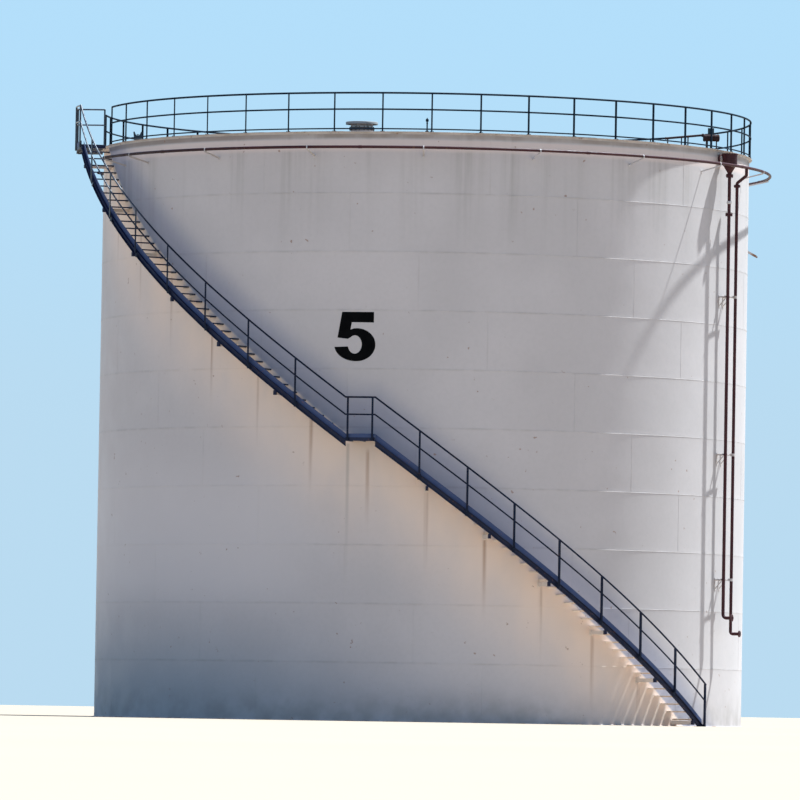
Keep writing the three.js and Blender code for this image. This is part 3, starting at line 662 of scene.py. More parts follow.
def painted(name, tone, worn_tone, wear=0.5, roughness=0.4, grain=0.15, shine=0.2):
    """Brush paint with a cloudy tone, some wear and rust, and a fine grain."""
    finish, tree, shader, where = new_finish(name, roughness)
    tone_share = between(tree, clouds(tree, where, 2.5, 5.0), 0.3, 0.7)
    colour = blended(tree, tone_share, tone, worn_tone)
    rust = between(tree, clouds(tree, where, 14.0, 5.0), 0.64 - 0.1 * wear, 0.72, 0.0, wear)
    colour = blended(tree, rust, colour, rust_brown)
    tree.links.new(colour, shader.inputs["Base Color"])
    dulled = between(tree, clouds(tree, where, 6.0, 4.0), 0.3, 0.7, roughness - 0.08, roughness + 0.12)
    tree.links.new(dulled, shader.inputs["Roughness"])
    tree.links.new(bumps(tree, clouds(tree, where, 90.0, 3.0), grain, 0.001), shader.inputs["Normal"])
    shader.inputs["Specular IOR Level"].default_value = shine
    return finish


vent_paint = painted("pinkish_vent_paint", (0.60, 0.50, 0.48, 1), (0.50, 0.42, 0.41, 1), 0.3, 0.5)
roof_tilt = math.degrees(math.atan(roof_rise / roof_edge))


def on_roof(x, y=0.0):
    """The level of the roof's upper side at a place on it."""
    return roof_level(math.hypot(x, y)) + roof_sheet + lap_lift


vent_cap_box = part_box("roof_vent_cap")
vent_x = (vent_cap_box[0].x + vent_cap_box[1].x) / 2
vent_cap_radius = (vent_cap_box[1].x - vent_cap_box[0].x) / 2
vent_neck_radius = (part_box("roof_vent_neck")[1].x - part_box("roof_vent_neck")[0].x) / 2
vent_top = vent_cap_box[1].z
cap_low = vent_cap_box[0].z
neck_top = cap_low - 0.078
neck_foot = on_roof(vent_x)
neck_low = stepped(vent_neck_radius, neck_foot, ((-0.006, -0.03), (0, -0.03)))
neck_steps = ((0, -0.006), (0.006, -0.003), (0.006, 0.003), (0, 0.006), (-0.006, 0))
neck = turned(neck_low + stepped(vent_neck_radius, neck_top, neck_steps), 64)
vent_pad = turned(((0.46, 0), (0.46, 0.006), (0.457, 0.008), (vent_neck_radius, 0.008)), 64, closed=False)
moved(vent_pad, at(0, 0, neck_foot - 0.004) @ about("Y", -roof_tilt))
vent_neck = moved(joined([neck, vent_pad]), at(vent_x))
finished(vent_neck, "vent_neck", vent_paint, "vent_paint", "roof_vent_neck")

# Vent cap: a flat steel cap with a skirt that keeps the rain out. It is held over the neck by six
# straps of flat bar, which are bolted to the neck.
cap_paint = painted("dull_grey_cap_paint", (0.30, 0.29, 0.285, 1), (0.22, 0.21, 0.205, 1), 0.35, 0.6)
cap_skirt = stepped(vent_cap_radius, cap_low, ((-0.004, 0), (0, 0)))
cap_shoulder = stepped(vent_cap_radius, vent_top, ((0, -0.022), (-0.004, -0.016), (-0.010, -0.013)))
cap_crown = stepped(0, vent_top, ((0.10, -0.002), (0.003, -0.002), (0.003, -0.006), (0.10, -0.006)))
cap_inside = stepped(vent_cap_radius, vent_top, ((-0.012, -0.017), (-0.004, -0.024)))
cap = turned(cap_skirt + cap_shoulder + cap_crown + cap_inside, 64)
strap = block((vent_neck_radius, -0.02, neck_top - 0.09), (vent_neck_radius + 0.006, 0.02, cap_low + 0.05))
strap_foot = moved(fastener(0.018), at(vent_neck_radius + 0.006, 0, neck_top - 0.05) @ about("Y", 90))
strap_arm = block(
    (vent_neck_radius, -0.02, cap_low + 0.044), (vent_cap_radius - 0.002, 0.02, cap_low + 0.05)
)
straps = ring_of(joined([strap, strap_foot, strap_arm]), 6, 0.0)
vent_cap = moved(joined([cap, straps]), at(vent_x))
finished(vent_cap, "vent_cap", cap_paint, "vent_paint", "roof_vent_cap")

# Vent joint: two dark steel flanges at the top of the neck, with a gasket between them and
# sixteen bolts through both.
joint_paint = painted("dark_joint_paint", (0.035, 0.030, 0.032, 1), (0.055, 0.045, 0.045, 1), 0.5, 0.6)
vent_joint = flanged_joint(
    vent_neck_radius, vent_neck_radius + 0.045, neck_top - 0.074, neck_top - 0.004, 16, 0.022
)
finished(moved(vent_joint, at(vent_x)), "vent_joint", joint_paint, "vent_paint")

# Vent mesh: woven galvanised wire round the opening between the neck and the cap, which keeps
# birds out. It is clamped inside the straps.
wire = turned(((0.0017, neck_top - 0.01), (0.0017, cap_low + 0.045)), 4, closed=False)
wires = ring_of(wire, 150, vent_neck_radius - 0.004)
clear_selection()
bpy.ops.mesh.primitive_torus_add(
    major_radius=vent_neck_radius - 0.002, minor_radius=0.0017, major_segments=64, minor_segments=4
)
hoops = copied(bpy.context.object, [at(0, 0, neck_top + 0.012 * hoop) for hoop in range(10)])
finished(moved(joined([wires, hoops]), at(vent_x)), "vent_bird_mesh", vent_paint, "fitting_grey")


# Gauge hatch: a small round neck on the roof with a cast lid. The lid is held down by a cross bar
# with a screw and a wheel, between two lugs that stand up beside it.
def extruded(outline, length):
    """A closed outline in the plane of y and z, drawn out along x and closed at both ends."""
    piece = moved(section(outline), about("Z", 90))
    editing(piece)
    bpy.ops.mesh.extrude_region_move(TRANSFORM_OT_translate={"value": (length, 0, 0)})
    bpy.ops.object.mode_set(mode="OBJECT")
    return closed_up(piece)


hatch_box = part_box("roof_gauge_hatch")
hatch_x = (hatch_box[0].x + hatch_box[1].x) / 2
hatch_y = (hatch_box[0].y + hatch_box[1].y) / 2
hatch_foot = on_roof(hatch_x, hatch_y)
lid_radius = (hatch_box[1].x - hatch_box[0].x) / 2
lid_low = hatch_box[1].z - 0.045
hatch_rim = stepped(0, lid_low, ((0.096, -0.016), (0.112, -0.014), (0.112, -0.002), (0.088, -0.002)))
hatch_neck = turned(stepped(0, hatch_foot, ((0.088, -0.03), (0.096, -0.03))) + hatch_rim, 32)
hatch_pad = turned(((0.18, 0), (0.18, 0.006), (0.177, 0.008), (0.096, 0.008)), 40, closed=False)
moved(hatch_pad, at(0, 0, hatch_foot - 0.004) @ about("Y", -roof_tilt))
lid_steps = ((-0.003, 0), (0, 0.003), (0, 0.012), (-0.006, 0.016), (-0.03, 0.018))
lid_profile = stepped(lid_radius, lid_low, lid_steps) + ((0, lid_low + 0.024),)
hatch_lid = turned(lid_profile, 40, closed=False)
lug_front = ((-0.055, -0.012), (0.030, -0.012), (0.034, 0.060), (0.050, 0.190))
lug_back = ((0.018, 0.200), (-0.020, 0.120), (-0.045, 0.095))
lug_outline = stepped(0, lid_low, lug_front + lug_back)
lugs = []
for turn in (0, 180):
    lug = moved(extruded(lug_outline, 0.012), about("Z", -90) @ at(-0.006))
    lugs.append(moved(lug, about("Z", turn) @ at(0.072)))
pin_side = 0.068
pin_level = lid_low + 0.035
lug_pins = copied(
    moved(turned(((0.008, -0.024), (0.008, 0.024)), 12, closed=False), about("X", 90)),
    [at(side, 0, pin_level) for side in (-pin_side, pin_side)],
)
lug_nuts = copied(
    moved(fastener(0.024), about("X", 90)), [at(side, -0.018, pin_level) for side in (-pin_side, pin_side)]
)
handle_posts = copied(
    turned(((0.006, lid_low + 0.015), (0.006, lid_low + 0.044)), 8, closed=False), [at(-0.03), at(0.03)]
)
handle = joined([handle_posts, block((-0.040, -0.006, lid_low + 0.040), (0.040, 0.006, lid_low + 0.052))])
cross_bar = block((-0.105, 0.008, lid_low + 0.022), (0.105, 0.030, lid_low + 0.100), 0.004)
clamp_screw = turned(((0.010, lid_low + 0.018), (0.010, lid_low + 0.125)), 12, closed=False)
wheel_steps = ((0.034, 0.118), (0.040, 0.124), (0.034, 0.130))
clamp_wheel = turned(stepped(0, lid_low, wheel_steps), 20, closed=False)
cross_bar = joined([cross_bar, moved(joined([clamp_screw, clamp_wheel]), at(0, 0.019))])
hatch_parts = [hatch_neck, hatch_pad, hatch_lid, lug_pins, lug_nuts, handle, cross_bar]
gauge_hatch = moved(joined(hatch_parts + lugs), at(hatch_x, hatch_y))
hatch_paint = painted("blue_grey_hatch_paint", (0.030, 0.050, 0.066, 1), (0.044, 0.064, 0.080, 1), 0.3, 0.6)
finished(gauge_hatch, "gauge_hatch", hatch_paint, "rail_paint", "roof_gauge_hatch")

# Gauge post: a slim pipe that stands on a bolted flange at the middle of the roof and is
# stiffened by four wings. It is painted as the railing is, and carries a small round head.
rail_paint = painted(
    "blue_black_rail_paint", (0.004, 0.012, 0.024, 1), (0.008, 0.017, 0.030, 1), 0.2, 0.6, shine=0.06
)
post_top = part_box("roof_gauge_post")[1].z
post_foot = roof_level(0) + 0.014
collar_steps = ((0.019, -0.150), (0.026, -0.145), (0.026, -0.130), (0.016, -0.125), (0.016, -0.110))
head_steps = (
    (0.030, -0.105), (0.040, -0.085), (0.040, -0.050), (0.030, -0.030), (0.012, -0.024), (0.012, 0)
)
gauge_profile = ((0.019, post_foot),) + stepped(0, post_top, collar_steps + head_steps)
gauge_pipe = turned(gauge_profile, 24, closed=False)
gauge_joint = flanged_joint(0.019, 0.110, post_foot + 0.006, post_foot + 0.034, 8, 0.020)
gauge_wing = joined(
    [
        block((0.018, -0.004, post_foot + 0.034), (0.075, 0.004, post_foot + 0.080)),
        block((0.018, -0.004, post_foot + 0.080), (0.045, 0.004, post_foot + 0.120)),
    ]
)
gauge_wings = ring_of(gauge_wing, 4, 0.0)
gauge_post = joined([gauge_pipe, gauge_joint, gauge_wings])
finished(gauge_post, "gauge_post", rail_paint, "rail_paint", "roof_gauge_post")

# Instrument case: a small sheet steel case with a lid, a hinged door and two cable glands. It
# stands near the right-hand rim, on a slim post that is bolted down.
case_paint = painted("dark_teal_case_paint", (0.016, 0.036, 0.046, 1), (0.026, 0.048, 0.056, 1), 0.25, 0.45)
case_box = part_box("roof_instrument_box")
case_x = (case_box[0].x + case_box[1].x) / 2
case_y = (case_box[0].y + case_box[1].y) / 2
case_top = case_box[1].z
case_low = case_top - 0.188
case = block((-0.082, -0.052, case_low), (0.082, 0.058, case_top - 0.010), 0.005)
case_lid = block((-0.085, -0.060, case_top - 0.012), (0.085, 0.060, case_top), 0.003)
door = block((-0.072, -0.0585, case_low + 0.010), (0.072, -0.050, case_top - 0.020), 0.003)
knob = moved(
    turned(((0.008, 0), (0.008, 0.0015)), 12, closed=False),
    at(0.055, -0.0583, case_top - 0.1) @ about("X", 90),
)
knuckles = copied(
    turned(((0.005, -0.018), (0.005, 0.018)), 8, closed=False),
    [at(-0.076, -0.054, case_low + 0.045), at(-0.076, -0.054, case_top - 0.055)],
)
case_foot = on_roof(case_x, case_y)
case_post = turned(((0.021, case_foot - 0.01), (0.021, case_low + 0.004)), 20, closed=False)
case_pad = block((-0.07, -0.07, case_foot - 0.004), (0.07, 0.07, case_foot + 0.006))
pad_bolts = copied(
    fastener(0.018), [at(x, y, case_foot + 0.006) for x in (-0.052, 0.052) for y in (-0.052, 0.052)]
)
gland_steps = ((0.010, -0.04), (0.010, -0.012), (0.016, -0.010), (0.016, 0))
gland = turned(stepped(0, case_low, gland_steps), 12, closed=False)
glands = copied(gland, [at(-0.05, 0.02), at(0.05, 0.02)])
instrument_case = joined([case, case_lid, door, knob, knuckles, case_post, case_pad, pad_bolts, glands])
moved(instrument_case, at(case_x, case_y))
finished(instrument_case, "instrument_case", case_paint, "fitting_grey", "roof_instrument_box")


# Conduit and housing: a reddish brown pipe that climbs along the roof to a round housing with
# bolted ends. Both stand on short legs with clamps and small plates.
def tube_along(corners, radius, bend, sides=16):
    """A round tube along a row of corners, with each corner rounded to the given bend."""
    points = [Vector(corners[0])]
    for before, corner, after in zip(corners, corners[1:], corners[2:]):
        corner = Vector(corner)
        back = (Vector(before) - corner).normalized()
        ahead = (Vector(after) - corner).normalized()
        half = back.angle(ahead) / 2
        away = bend / math.tan(half)
        centre = corner + (back + ahead).normalized() * (bend / math.sin(half))
        start = (corner + back * away - centre).normalized()
        stop = (corner + ahead * away - centre).normalized()
        for step in range(9):
            points.append(centre + start.slerp(stop, step / 8) * bend)
    points.append(Vector(corners[-1]))
    clear_selection()
    bpy.ops.curve.primitive_nurbs_path_add()
    path = bpy.context.object
    path.data.splines.clear()
    spline = path.data.splines.new("POLY")
    spline.points.add(len(points) - 1)
    for place, point in zip(spline.points, points):
        place.co = (*point, 1)
    path.data.bevel_depth = radius
    path.data.bevel_resolution = sides // 4
    path.data.use_fill_caps = True
    bpy.ops.object.convert(target="MESH")
    return bpy.context.object


conduit_paint = painted(
    "reddish_brown_paint", (0.050, 0.024, 0.022, 1), (0.038, 0.020, 0.020, 1), 0.4, 0.65, shine=0.08
)
conduit_radius = 0.0295
conduit_corners = ((6.350, 0, 15.643), (6.420, 0, 15.650), (7.30, 0, 15.740), (7.372, 0, 15.742))
conduit = tube_along(conduit_corners, conduit_radius, 0.12, 16)
end_profile = ((conduit_radius, 0), (0.040, 0.004), (0.040, 0.020), (0.034, 0.024), (0.034, 0.034))
conduit_end = moved(turned(end_profile, 6, closed=False), at(6.352, 0, 15.643) @ about("Y", 84.2))
conduit_boss = moved(
    turned(((0.033, -0.05), (0.046, -0.046), (0.046, 0.0), (0.060, 0.004)), 24, closed=False),
    at(*conduit_corners[-1]) @ about("Y", 90),
)
housing_x = 7.585
housing_level = 15.675
housing = moved(
    turned(
        (
            (0.085, -0.225), (0.088, -0.222), (0.088, -0.207), (0.100, -0.204), (0.100, -0.176),
            (0.090, -0.172), (0.090, 0.150), (0.100, 0.154), (0.100, 0.182), (0.088, 0.185), (0.088, 0.204),
            (0.060, 0.216), (0.020, 0.222),
        ),
        40,
        closed=False,
    ),
    at(housing_x, 0, housing_level) @ about("Y", 90),
)
end_bolts = ring_of(fastener(0.014, 0.2), 10, 0.094)
moved(end_bolts, at(housing_x + 0.182, 0, housing_level) @ about("Y", 90))
cooling_fins = copied(
    turned(((0.089, -0.002), (0.099, -0.002), (0.099, 0.002), (0.089, 0.002)), 40),
    [at(housing_x - 0.10 + 0.03 * fin, 0, housing_level) @ about("Y", 90) for fin in range(7)],
)
legs = []
for leg_x, leg_top in ((6.42, 15.620), (6.96, 15.675), (7.45, 15.590), (7.72, 15.590)):
    leg_foot = on_roof(leg_x)
    legs.append(turned(((0.017, leg_foot - 0.005), (0.017, leg_top)), 12, closed=False))
    moved(legs[-1], at(leg_x))
    legs.append(block((leg_x - 0.05, -0.05, leg_foot - 0.006), (leg_x + 0.05, 0.05, leg_foot + 0.004)))
    legs.append(block((leg_x - 0.020, -0.045, leg_top - 0.008), (leg_x + 0.020, 0.045, leg_top + 0.002)))
conduit_line = joined([conduit, conduit_end, conduit_boss, housing, end_bolts, cooling_fins] + legs)
finished(conduit_line, "conduit_and_housing", conduit_paint, "fitting_grey", "roof_instrument_pipe")


# Roof railing: three rails of round steel tube on posts of angle bar. Each post stands on a small
# base plate with two bolts through the flat leg of the curb angle. The railing was welded in six
# parts that meet at posts.
def round_section(reach, height, radius, sides=12, stretch=1.0):
    """A circle for bent, drawn taller where the run climbs, so that the tube stays round."""
    turns = [2 * math.pi * side / sides for side in range(sides)]
    circle = [(radius * math.cos(turn), stretch * radius * math.sin(turn)) for turn in turns]
    return section([(reach + outward, height + up) for outward, up in circle])


def ball(radius, sides=12):
    """Closes the corner or the end of a tube."""
    clear_selection()
    bpy.ops.mesh.primitive_uv_sphere_add(radius=radius, segments=sides, ring_count=sides // 2)
    return bpy.context.object


roof_rail_reach = tank_radius + 0.030
roof_rail_levels = ((0.075, 0.0175), (0.575, 0.0215), (0.995, 0.0250))
post_step = 360 / 43
first_post = -74.55
last_post = 265.3
post_angles = [first_post + post_step * number for number in range(41)] + [last_post]
bays_per_part = 7
rail_parts = 6
top_rail_height = roof_rail_levels[-1][0]


def angle_post(outer, width, depth, thickness, foot, height):
    """An angle bar with one leg facing outwards and the other, at its lower bearing, inwards."""
    outline = (
        (outer, -width / 2), (outer, width / 2), (outer - thickness, width / 2),
        (outer - thickness, thickness - width / 2), (outer - depth, thickness - width / 2),
        (outer - depth, -width / 2),
    )
    clear_selection()
    bpy.ops.mesh.primitive_circle_add(vertices=len(outline))
    piece = bpy.context.object
    for corner, (outward, along) in zip(piece.data.vertices, outline):
        corner.co = (outward, along, foot)
    editing(piece)
    bpy.ops.mesh.extrude_region_move(TRANSFORM_OT_translate={"value": (0, 0, height - foot)})
    bpy.ops.object.mode_set(mode="OBJECT")
    return closed_up(piece)


upright = angle_post(0.0200, 0.040, 0.040, 0.004, 0.0, 0.990)
base_plate = block((-0.010, -0.055, 0.0), (0.042, 0.055, 0.008))
plate_bolts = copied(fastener(0.018), [at(0.030, -0.040, 0.008), at(0.030, 0.040, 0.008)])
roof_post = joined([upright, base_plate, plate_bolts])
for part in range(rail_parts):
    first = part * bays_per_part
    part_posts = post_angles[first : first + bays_per_part + 1]
    standing = part_posts if part == 0 else part_posts[1:]
    post_places = [bearing_matrix(angle, roof_rail_reach, rim_level) for angle in standing]
    pieces = [copied(twin_of(roof_post), post_places)]
    for height, radius in roof_rail_levels:
        rail = round_section(roof_rail_reach, rim_level + height, radius)
        pieces.append(bent(rail, part_posts[0], part_posts[-1], 0.0, 1.4))
    for angle in part_posts:
        if angle in (first_post, last_post):
            corner = bearing_matrix(angle, roof_rail_reach, rim_level + top_rail_height)
            pieces.append(moved(ball(0.0205), corner))
    finished(joined(pieces), f"roof_rails_{part + 1}", rail_paint, "rail_paint", f"roof_railing_{part + 1}")
bpy.data.objects.remove(roof_post)

# Stair flights: each has an outer stringer of rolled steel channel, bent to the curve of the shell
# with its flanges outwards, and bolted down on dark seats. On the upper flight the treads' folded
# front edges and the cleats on the stringer are as dark as it is.
stair_paint = painted("navy_stair_paint", (0.010, 0.014, 0.042, 1), (0.016, 0.021, 0.050, 1), 0.3, 0.5)
stringer_outer = 9.325
stringer_inner = 9.255
stringer_depth = 0.160
rail_reach = 9.350
platform_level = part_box("top_platform")[1].z
lower_risers = 37
lower_going = 1.64
upper_risers = 40
upper_going = 1.6525
lower_end = landing_start + lower_risers * lower_going
upper_end = landing_end - upper_risers * upper_going
platform_end = -93.5
lower_fall = landing_level / (lower_end - landing_start)
upper_fall = (platform_level - landing_level) / (landing_end - upper_end)


def stair_level(angle):
    """The level of the stringer's upper edge, which is also the tread nosings' line."""
    if angle > landing_start:
        return landing_level - (angle - landing_start) * lower_fall
    if angle >= landing_end:
        return landing_level
    return min(platform_level, landing_level + (landing_end - angle) * upper_fall)


channel_top = -0.062
flange_edge = stepped(
    stringer_outer, channel_top, ((-0.003, 0), (0, -0.003), (0, -0.010), (-0.004, -0.0125))
)
web_corner = stepped(stringer_inner, channel_top, ((0.020, -0.0165), (0.012, -0.020), (0.0085, -0.027)))
upper_half = ((stringer_inner, channel_top),) + flange_edge + web_corner
lower_half = tuple(
    (reach, 2 * channel_top - stringer_depth - height) for reach, height in reversed(upper_half)
)


def channel(level):
    return section([(reach, level + height) for reach, height in upper_half + lower_half])


tread_half_turn = math.degrees(0.125 / rail_reach)
tread_plate = block((tank_radius + 0.006, -0.125, -0.005), (stringer_inner - 0.001, 0.119, 0.0), 0.001)
shell_cleat = block((tank_radius - 0.001, -0.100, -0.046), (tank_radius + 0.005, 0.100, -0.005))
cleat_leg = block((tank_radius, -0.100, -0.011), (tank_radius + 0.045, 0.100, -0.005), 0.001)
light_tread = joined([tread_plate, shell_cleat, cleat_leg])
nosing = block((tank_radius + 0.006, 0.118, -0.034), (stringer_inner - 0.001, 0.125, 0.0005))
pale_tread = joined([twin_of(light_tread), twin_of(nosing)])
web_cleat = block((stringer_inner - 0.008, -0.100, -0.046), (stringer_inner - 0.001, 0.118, -0.005))
dark_tread = joined([nosing, web_cleat])

channel_low = channel_top - stringer_depth
seat_gap = 0.020
arm_depth = 0.100


def arm_levels(angle):
    """The levels of the lower and the upper side of an arm."""
    arm_top = stair_level(angle) + channel_low - seat_gap
    return arm_top - arm_depth, arm_top


def stair_seat(angle):
    """The dark end of an arm, bolted under the stringer's lower flange."""
    arm_low, arm_top = arm_levels(angle)
    seat = block(
        (stringer_inner - 0.010, -0.036, arm_low - 0.002), (stringer_outer - 0.008, 0.036, arm_top + 0.002)
    )
    lug = block((stringer_inner + 0.012, -0.030, arm_top), (stringer_outer - 0.012, 0.030, arm_top + 0.021))
    bolts = copied(
        moved(fastener(0.02), at(stringer_outer - 0.008, 0, 0) @ about("Y", 90)),
        [at(0, 0, arm_low + 0.030), at(0, 0, arm_top - 0.030)],
    )
    return moved(joined([seat, lug, bolts]), bearing_matrix(angle))


def lower_part_cut_off(piece):
    """Cuts off what lies below level 0 and closes the cut."""
    editing(piece)
    bpy.ops.mesh.bisect(plane_co=(0, 0, 0), plane_no=(0, 0, 1), use_fill=True, clear_inner=True)
    bpy.ops.object.mode_set(mode="OBJECT")


lower_run_out = lower_end + 1.0
lower_stringer = bent(
    channel(landing_level), landing_start, lower_run_out, -(lower_run_out - landing_start) * lower_fall, 0.9
)
lower_part_cut_off(lower_stringer)


def tread_places(first_edge, going, risers):
    places = []
    for step in range(1, risers):
        angle = first_edge + step * going
        places.append(bearing_matrix(angle - tread_half_turn, 0, stair_level(angle)))
    return places


lower_treads = tread_places(landing_start, lower_going, lower_risers)
upper_treads = tread_places(landing_end, -upper_going, upper_risers)
lower_arms = (0.9, 10.9, 20.8, 30.9, 41.0, 50.0)
upper_arms = (-24.0, -34.5, -44.5, -54.7, -65.0, -75.5)
foot_plate = block((stringer_inner - 0.03, -0.11, 0.0), (stringer_outer + 0.03, 0.07, 0.014))
foot_rib = block((stringer_inner - 0.006, -0.07, 0.012), (stringer_inner + 0.002, 0.05, 0.110))
stringer_middle = (stringer_inner + stringer_outer) / 2
anchors = copied(fastener(0.024), [at(stringer_middle, side, 0.014) for side in (-0.085, 0.045)])
stair_foot = moved(joined([foot_plate, foot_rib, anchors]), bearing_matrix(lower_end - 1.2))
lower_flight = joined([lower_stringer, stair_foot] + [stair_seat(angle) for angle in lower_arms])
finished(lower_flight, "lower_stair_flight", stair_paint, "stair_paint", "lower_flight")
upper_stringer = bent(
    channel(platform_level), upper_end, landing_end, landing_level - platform_level, 0.9
)
upper_flight = joined(
    [upper_stringer, copied(dark_tread, upper_treads)] + [stair_seat(angle) for angle in upper_arms]
)
finished(upper_flight, "upper_stair_flight", stair_paint, "stair_paint", "upper_flight")

# Tread plates: folded steel plates, welded to cleats on the shell and on the stringer. Those of
# the upper flight are worn, and those of the lower flight are painted cream all over.
tread_paint = painted("worn_tread_paint", (0.40, 0.36, 0.33, 1), (0.30, 0.27, 0.25, 1), 0.6, 0.7)
finished(copied(light_tread, upper_treads), "upper_tread_plates", tread_paint, "fitting_grey")
cream_paint = painted("cream_tread_paint", (0.74, 0.63, 0.56, 1), (0.66, 0.56, 0.49, 1), 0.25, 0.7)
finished(copied(pale_tread, lower_treads), "lower_tread_plates", cream_paint, "fitting_grey")


# Stair arms: cream steel box sections that carry the stringers' seats. Each is welded to a plate
# on the shell, with a gusset below it.
def stair_arm(angle):
    arm_low, arm_top = arm_levels(angle)
    beam = block((tank_radius + 0.006, -0.030, arm_low), (stringer_inner, 0.030, arm_top), 0.006)
    foot = block(
        (tank_radius - 0.001, -0.055, arm_low - 0.03), (tank_radius + 0.008, 0.055, arm_top + 0.03)
    )
    gusset = block(
        (tank_radius + 0.006, -0.004, arm_low - 0.028), (tank_radius + 0.07, 0.004, arm_low), 0.001
    )
    return moved(joined([beam, foot, gusset]), bearing_matrix(angle))


stair_arms = joined([stair_arm(angle) for angle in lower_arms + upper_arms])
finished(stair_arms, "stair_arms", cream_paint, "shell_paint")


# Landing and top platform: a deck of worn steel plate behind a rim of flat bar, stiffened from
# below by ribs with a lip. The landing is welded to the shell, and the platform to the curb.
def walkway(from_angle, to_angle, level, depth, inner, rib_angles):
    """Makes the rim bar, and the deck with its ribs."""
    deck_outer = stringer_outer - 0.010
    deck = ((inner, level - 0.006), (deck_outer, level - 0.006), (deck_outer, level), (inner, level))
    pieces = [bent(section(deck), from_angle, to_angle, 0.0, 0.8)]
    bar_low = stepped(stringer_outer, level - depth, ((-0.012, 0), (-0.001, 0), (0, 0.001)))
    bar_high = stepped(stringer_outer, level, ((0, -0.001), (-0.001, 0), (-0.012, 0)))
    rim_bar = bent(section(bar_low + bar_high), from_angle, to_angle, 0.0, 0.8)
    for angle in rib_angles:
        rib = block((inner, -0.005, level - depth), (stringer_outer - 0.006, 0.005, level - 0.005))
        lip = block((inner, -0.025, level - depth), (stringer_outer - 0.006, 0.025, level - depth + 0.006))
        pieces.append(moved(joined([rib, lip]), bearing_matrix(angle)))
    return rim_bar, joined(pieces)


landing_ribs = (landing_end + 0.2, (landing_start + landing_end) / 2, landing_start - 0.2)
landing, landing_deck = walkway(
    landing_end, landing_start, landing_level, 0.090, tank_radius + 0.001, landing_ribs
)
finished(landing, "mid_landing", stair_paint, "stair_paint", "stair_landing")
deck_paint = painted("worn_deck_paint", (0.22, 0.235, 0.27, 1), (0.17, 0.18, 0.21, 1), 0.2, 0.7)
finished(landing_deck, "mid_landing_deck", deck_paint, "fitting_grey")
rib_spacing = (upper_end - platform_end - 0.4) / 4
platform_ribs = [platform_end + 0.2 + number * rib_spacing for number in range(5)]
platform, platform_deck = walkway(
    platform_end, upper_end, platform_level, 0.100, curb_outer + 0.001, platform_ribs
)
front_bar = block(
    (curb_outer + 0.001, -0.006, platform_level - 0.100), (stringer_outer - 0.002, 0.006, platform_level)
)
platform = joined([platform, moved(front_bar, bearing_matrix(upper_end - 0.06))])
finished(platform, "head_platform", stair_paint, "stair_paint", "top_platform")
finished(platform_deck, "head_platform_deck", deck_paint, "fitting_grey")

# Stair handrails: a top rail and a mid rail of round steel tube on posts of angle bar, each with a
# foot plate bolted across the stringer's flanges. The landing's and the platform's rails run on
# from them. The navy paint is still glossy high up, where it catches the sun.
stair_rail_paint = painted("navy_rail_paint", (0.005, 0.009, 0.024, 1), (0.008, 0.012, 0.029, 1), 0.2, 0.34)
tree = stair_rail_paint.node_tree
height = axes_of(tree, add_node(tree, "TexCoord").outputs["Object"])[2]
gloss = between(tree, height, 12.5, 13.5, 0.12, 0.9)
tree.links.new(gloss, tree.nodes["Principled BSDF"].inputs["Specular IOR Level"])
rail_rows = ((1.0255, 0.0236), (0.585, 0.0205))
platform_rows = ((1.1005, 0.0210), (0.685, 0.0190))


def rails_along(from_angle, to_angle, from_level, to_level, rows=rail_rows):
    """The two rails over a stretch of the stair, which starts at its lower bearing."""
    climb = to_level - from_level
    run = math.radians(to_angle - from_angle) * rail_reach
    stretch = math.hypot(climb, run) / run
    pieces = []
    for height, radius in rows:
        tube = round_section(rail_reach, from_level + height, radius, 12, stretch)
        pieces.append(bent(tube, from_angle, to_angle, climb, 1.2))
    return pieces


def stair_post(angle, foot_drop, plate_low, plate_high, top=1.020):
    """An angle bar beside the stringer with a bolted plate across the flanges at its foot."""
    line = stair_level(angle)
    foot = line - min(foot_drop, line)
    low = max(line - plate_low, 0.003)
    high = max(line - plate_high, low + 0.055)
    upright = angle_post(rail_reach + 0.0232, 0.052, 0.046, 0.005, foot, line + top)
    plate = block((stringer_outer, -0.045, low), (stringer_outer + 0.006, 0.045, high))
    bolt = moved(fastener(0.016), about("Y", 90))
    places = [
        at(stringer_outer + 0.006, side, level)
        for side in (-0.034, 0.034) for level in (low + 0.02, high - 0.02)
    ]
    return moved(joined([upright, plate, copied(bolt, places)]), bearing_matrix(angle))


def knuckles_at(angles, levels, rows=rail_rows):
    """Balls that close the corners where the rails change their slope."""
    pieces = []
    for angle, level in zip(angles, levels):
        for height, radius in rows:
            pieces.append(moved(ball(radius * 1.01), bearing_matrix(angle, rail_reach, level + height)))
    return pieces


lower_rail_end = lower_end - 0.5
lower_spacing = 7.56
lower_posts = [landing_start - 0.5 + lower_spacing * number for number in range(1, 9)]
lower_rails = rails_along(landing_start, lower_rail_end, landing_level, stair_level(lower_rail_end))
lower_rails += [stair_post(angle, 0.110, 0.215, 0.066) for angle in lower_posts]
lower_rails += knuckles_at([lower_rail_end], [stair_level(lower_rail_end)])
finished(joined(lower_rails), "lower_rails", stair_rail_paint, "rail_paint", "lower_handrail")

landing_rails = rails_along(landing_end, landing_start, landing_level, landing_level)
landing_rails += [
    stair_post(angle, 0.080, 0.086, 0.008) for angle in (landing_start - 0.4, landing_end + 0.4)
]
landing_rails += knuckles_at([landing_start, landing_end], [landing_level, landing_level])
finished(joined(landing_rails), "landing_rails", stair_rail_paint, "rail_paint", "landing_railing")

upper_spacing = 8.26
upper_posts = [landing_end - upper_spacing * number for number in range(1, 8)]
upper_rails = rails_along(upper_end, landing_end, platform_level, landing_level)
upper_rails += [stair_post(angle, 0.110, 0.215, 0.066) for angle in upper_posts]
finished(joined(upper_rails), "upper_rails", stair_rail_paint, "rail_paint", "upper_handrail")

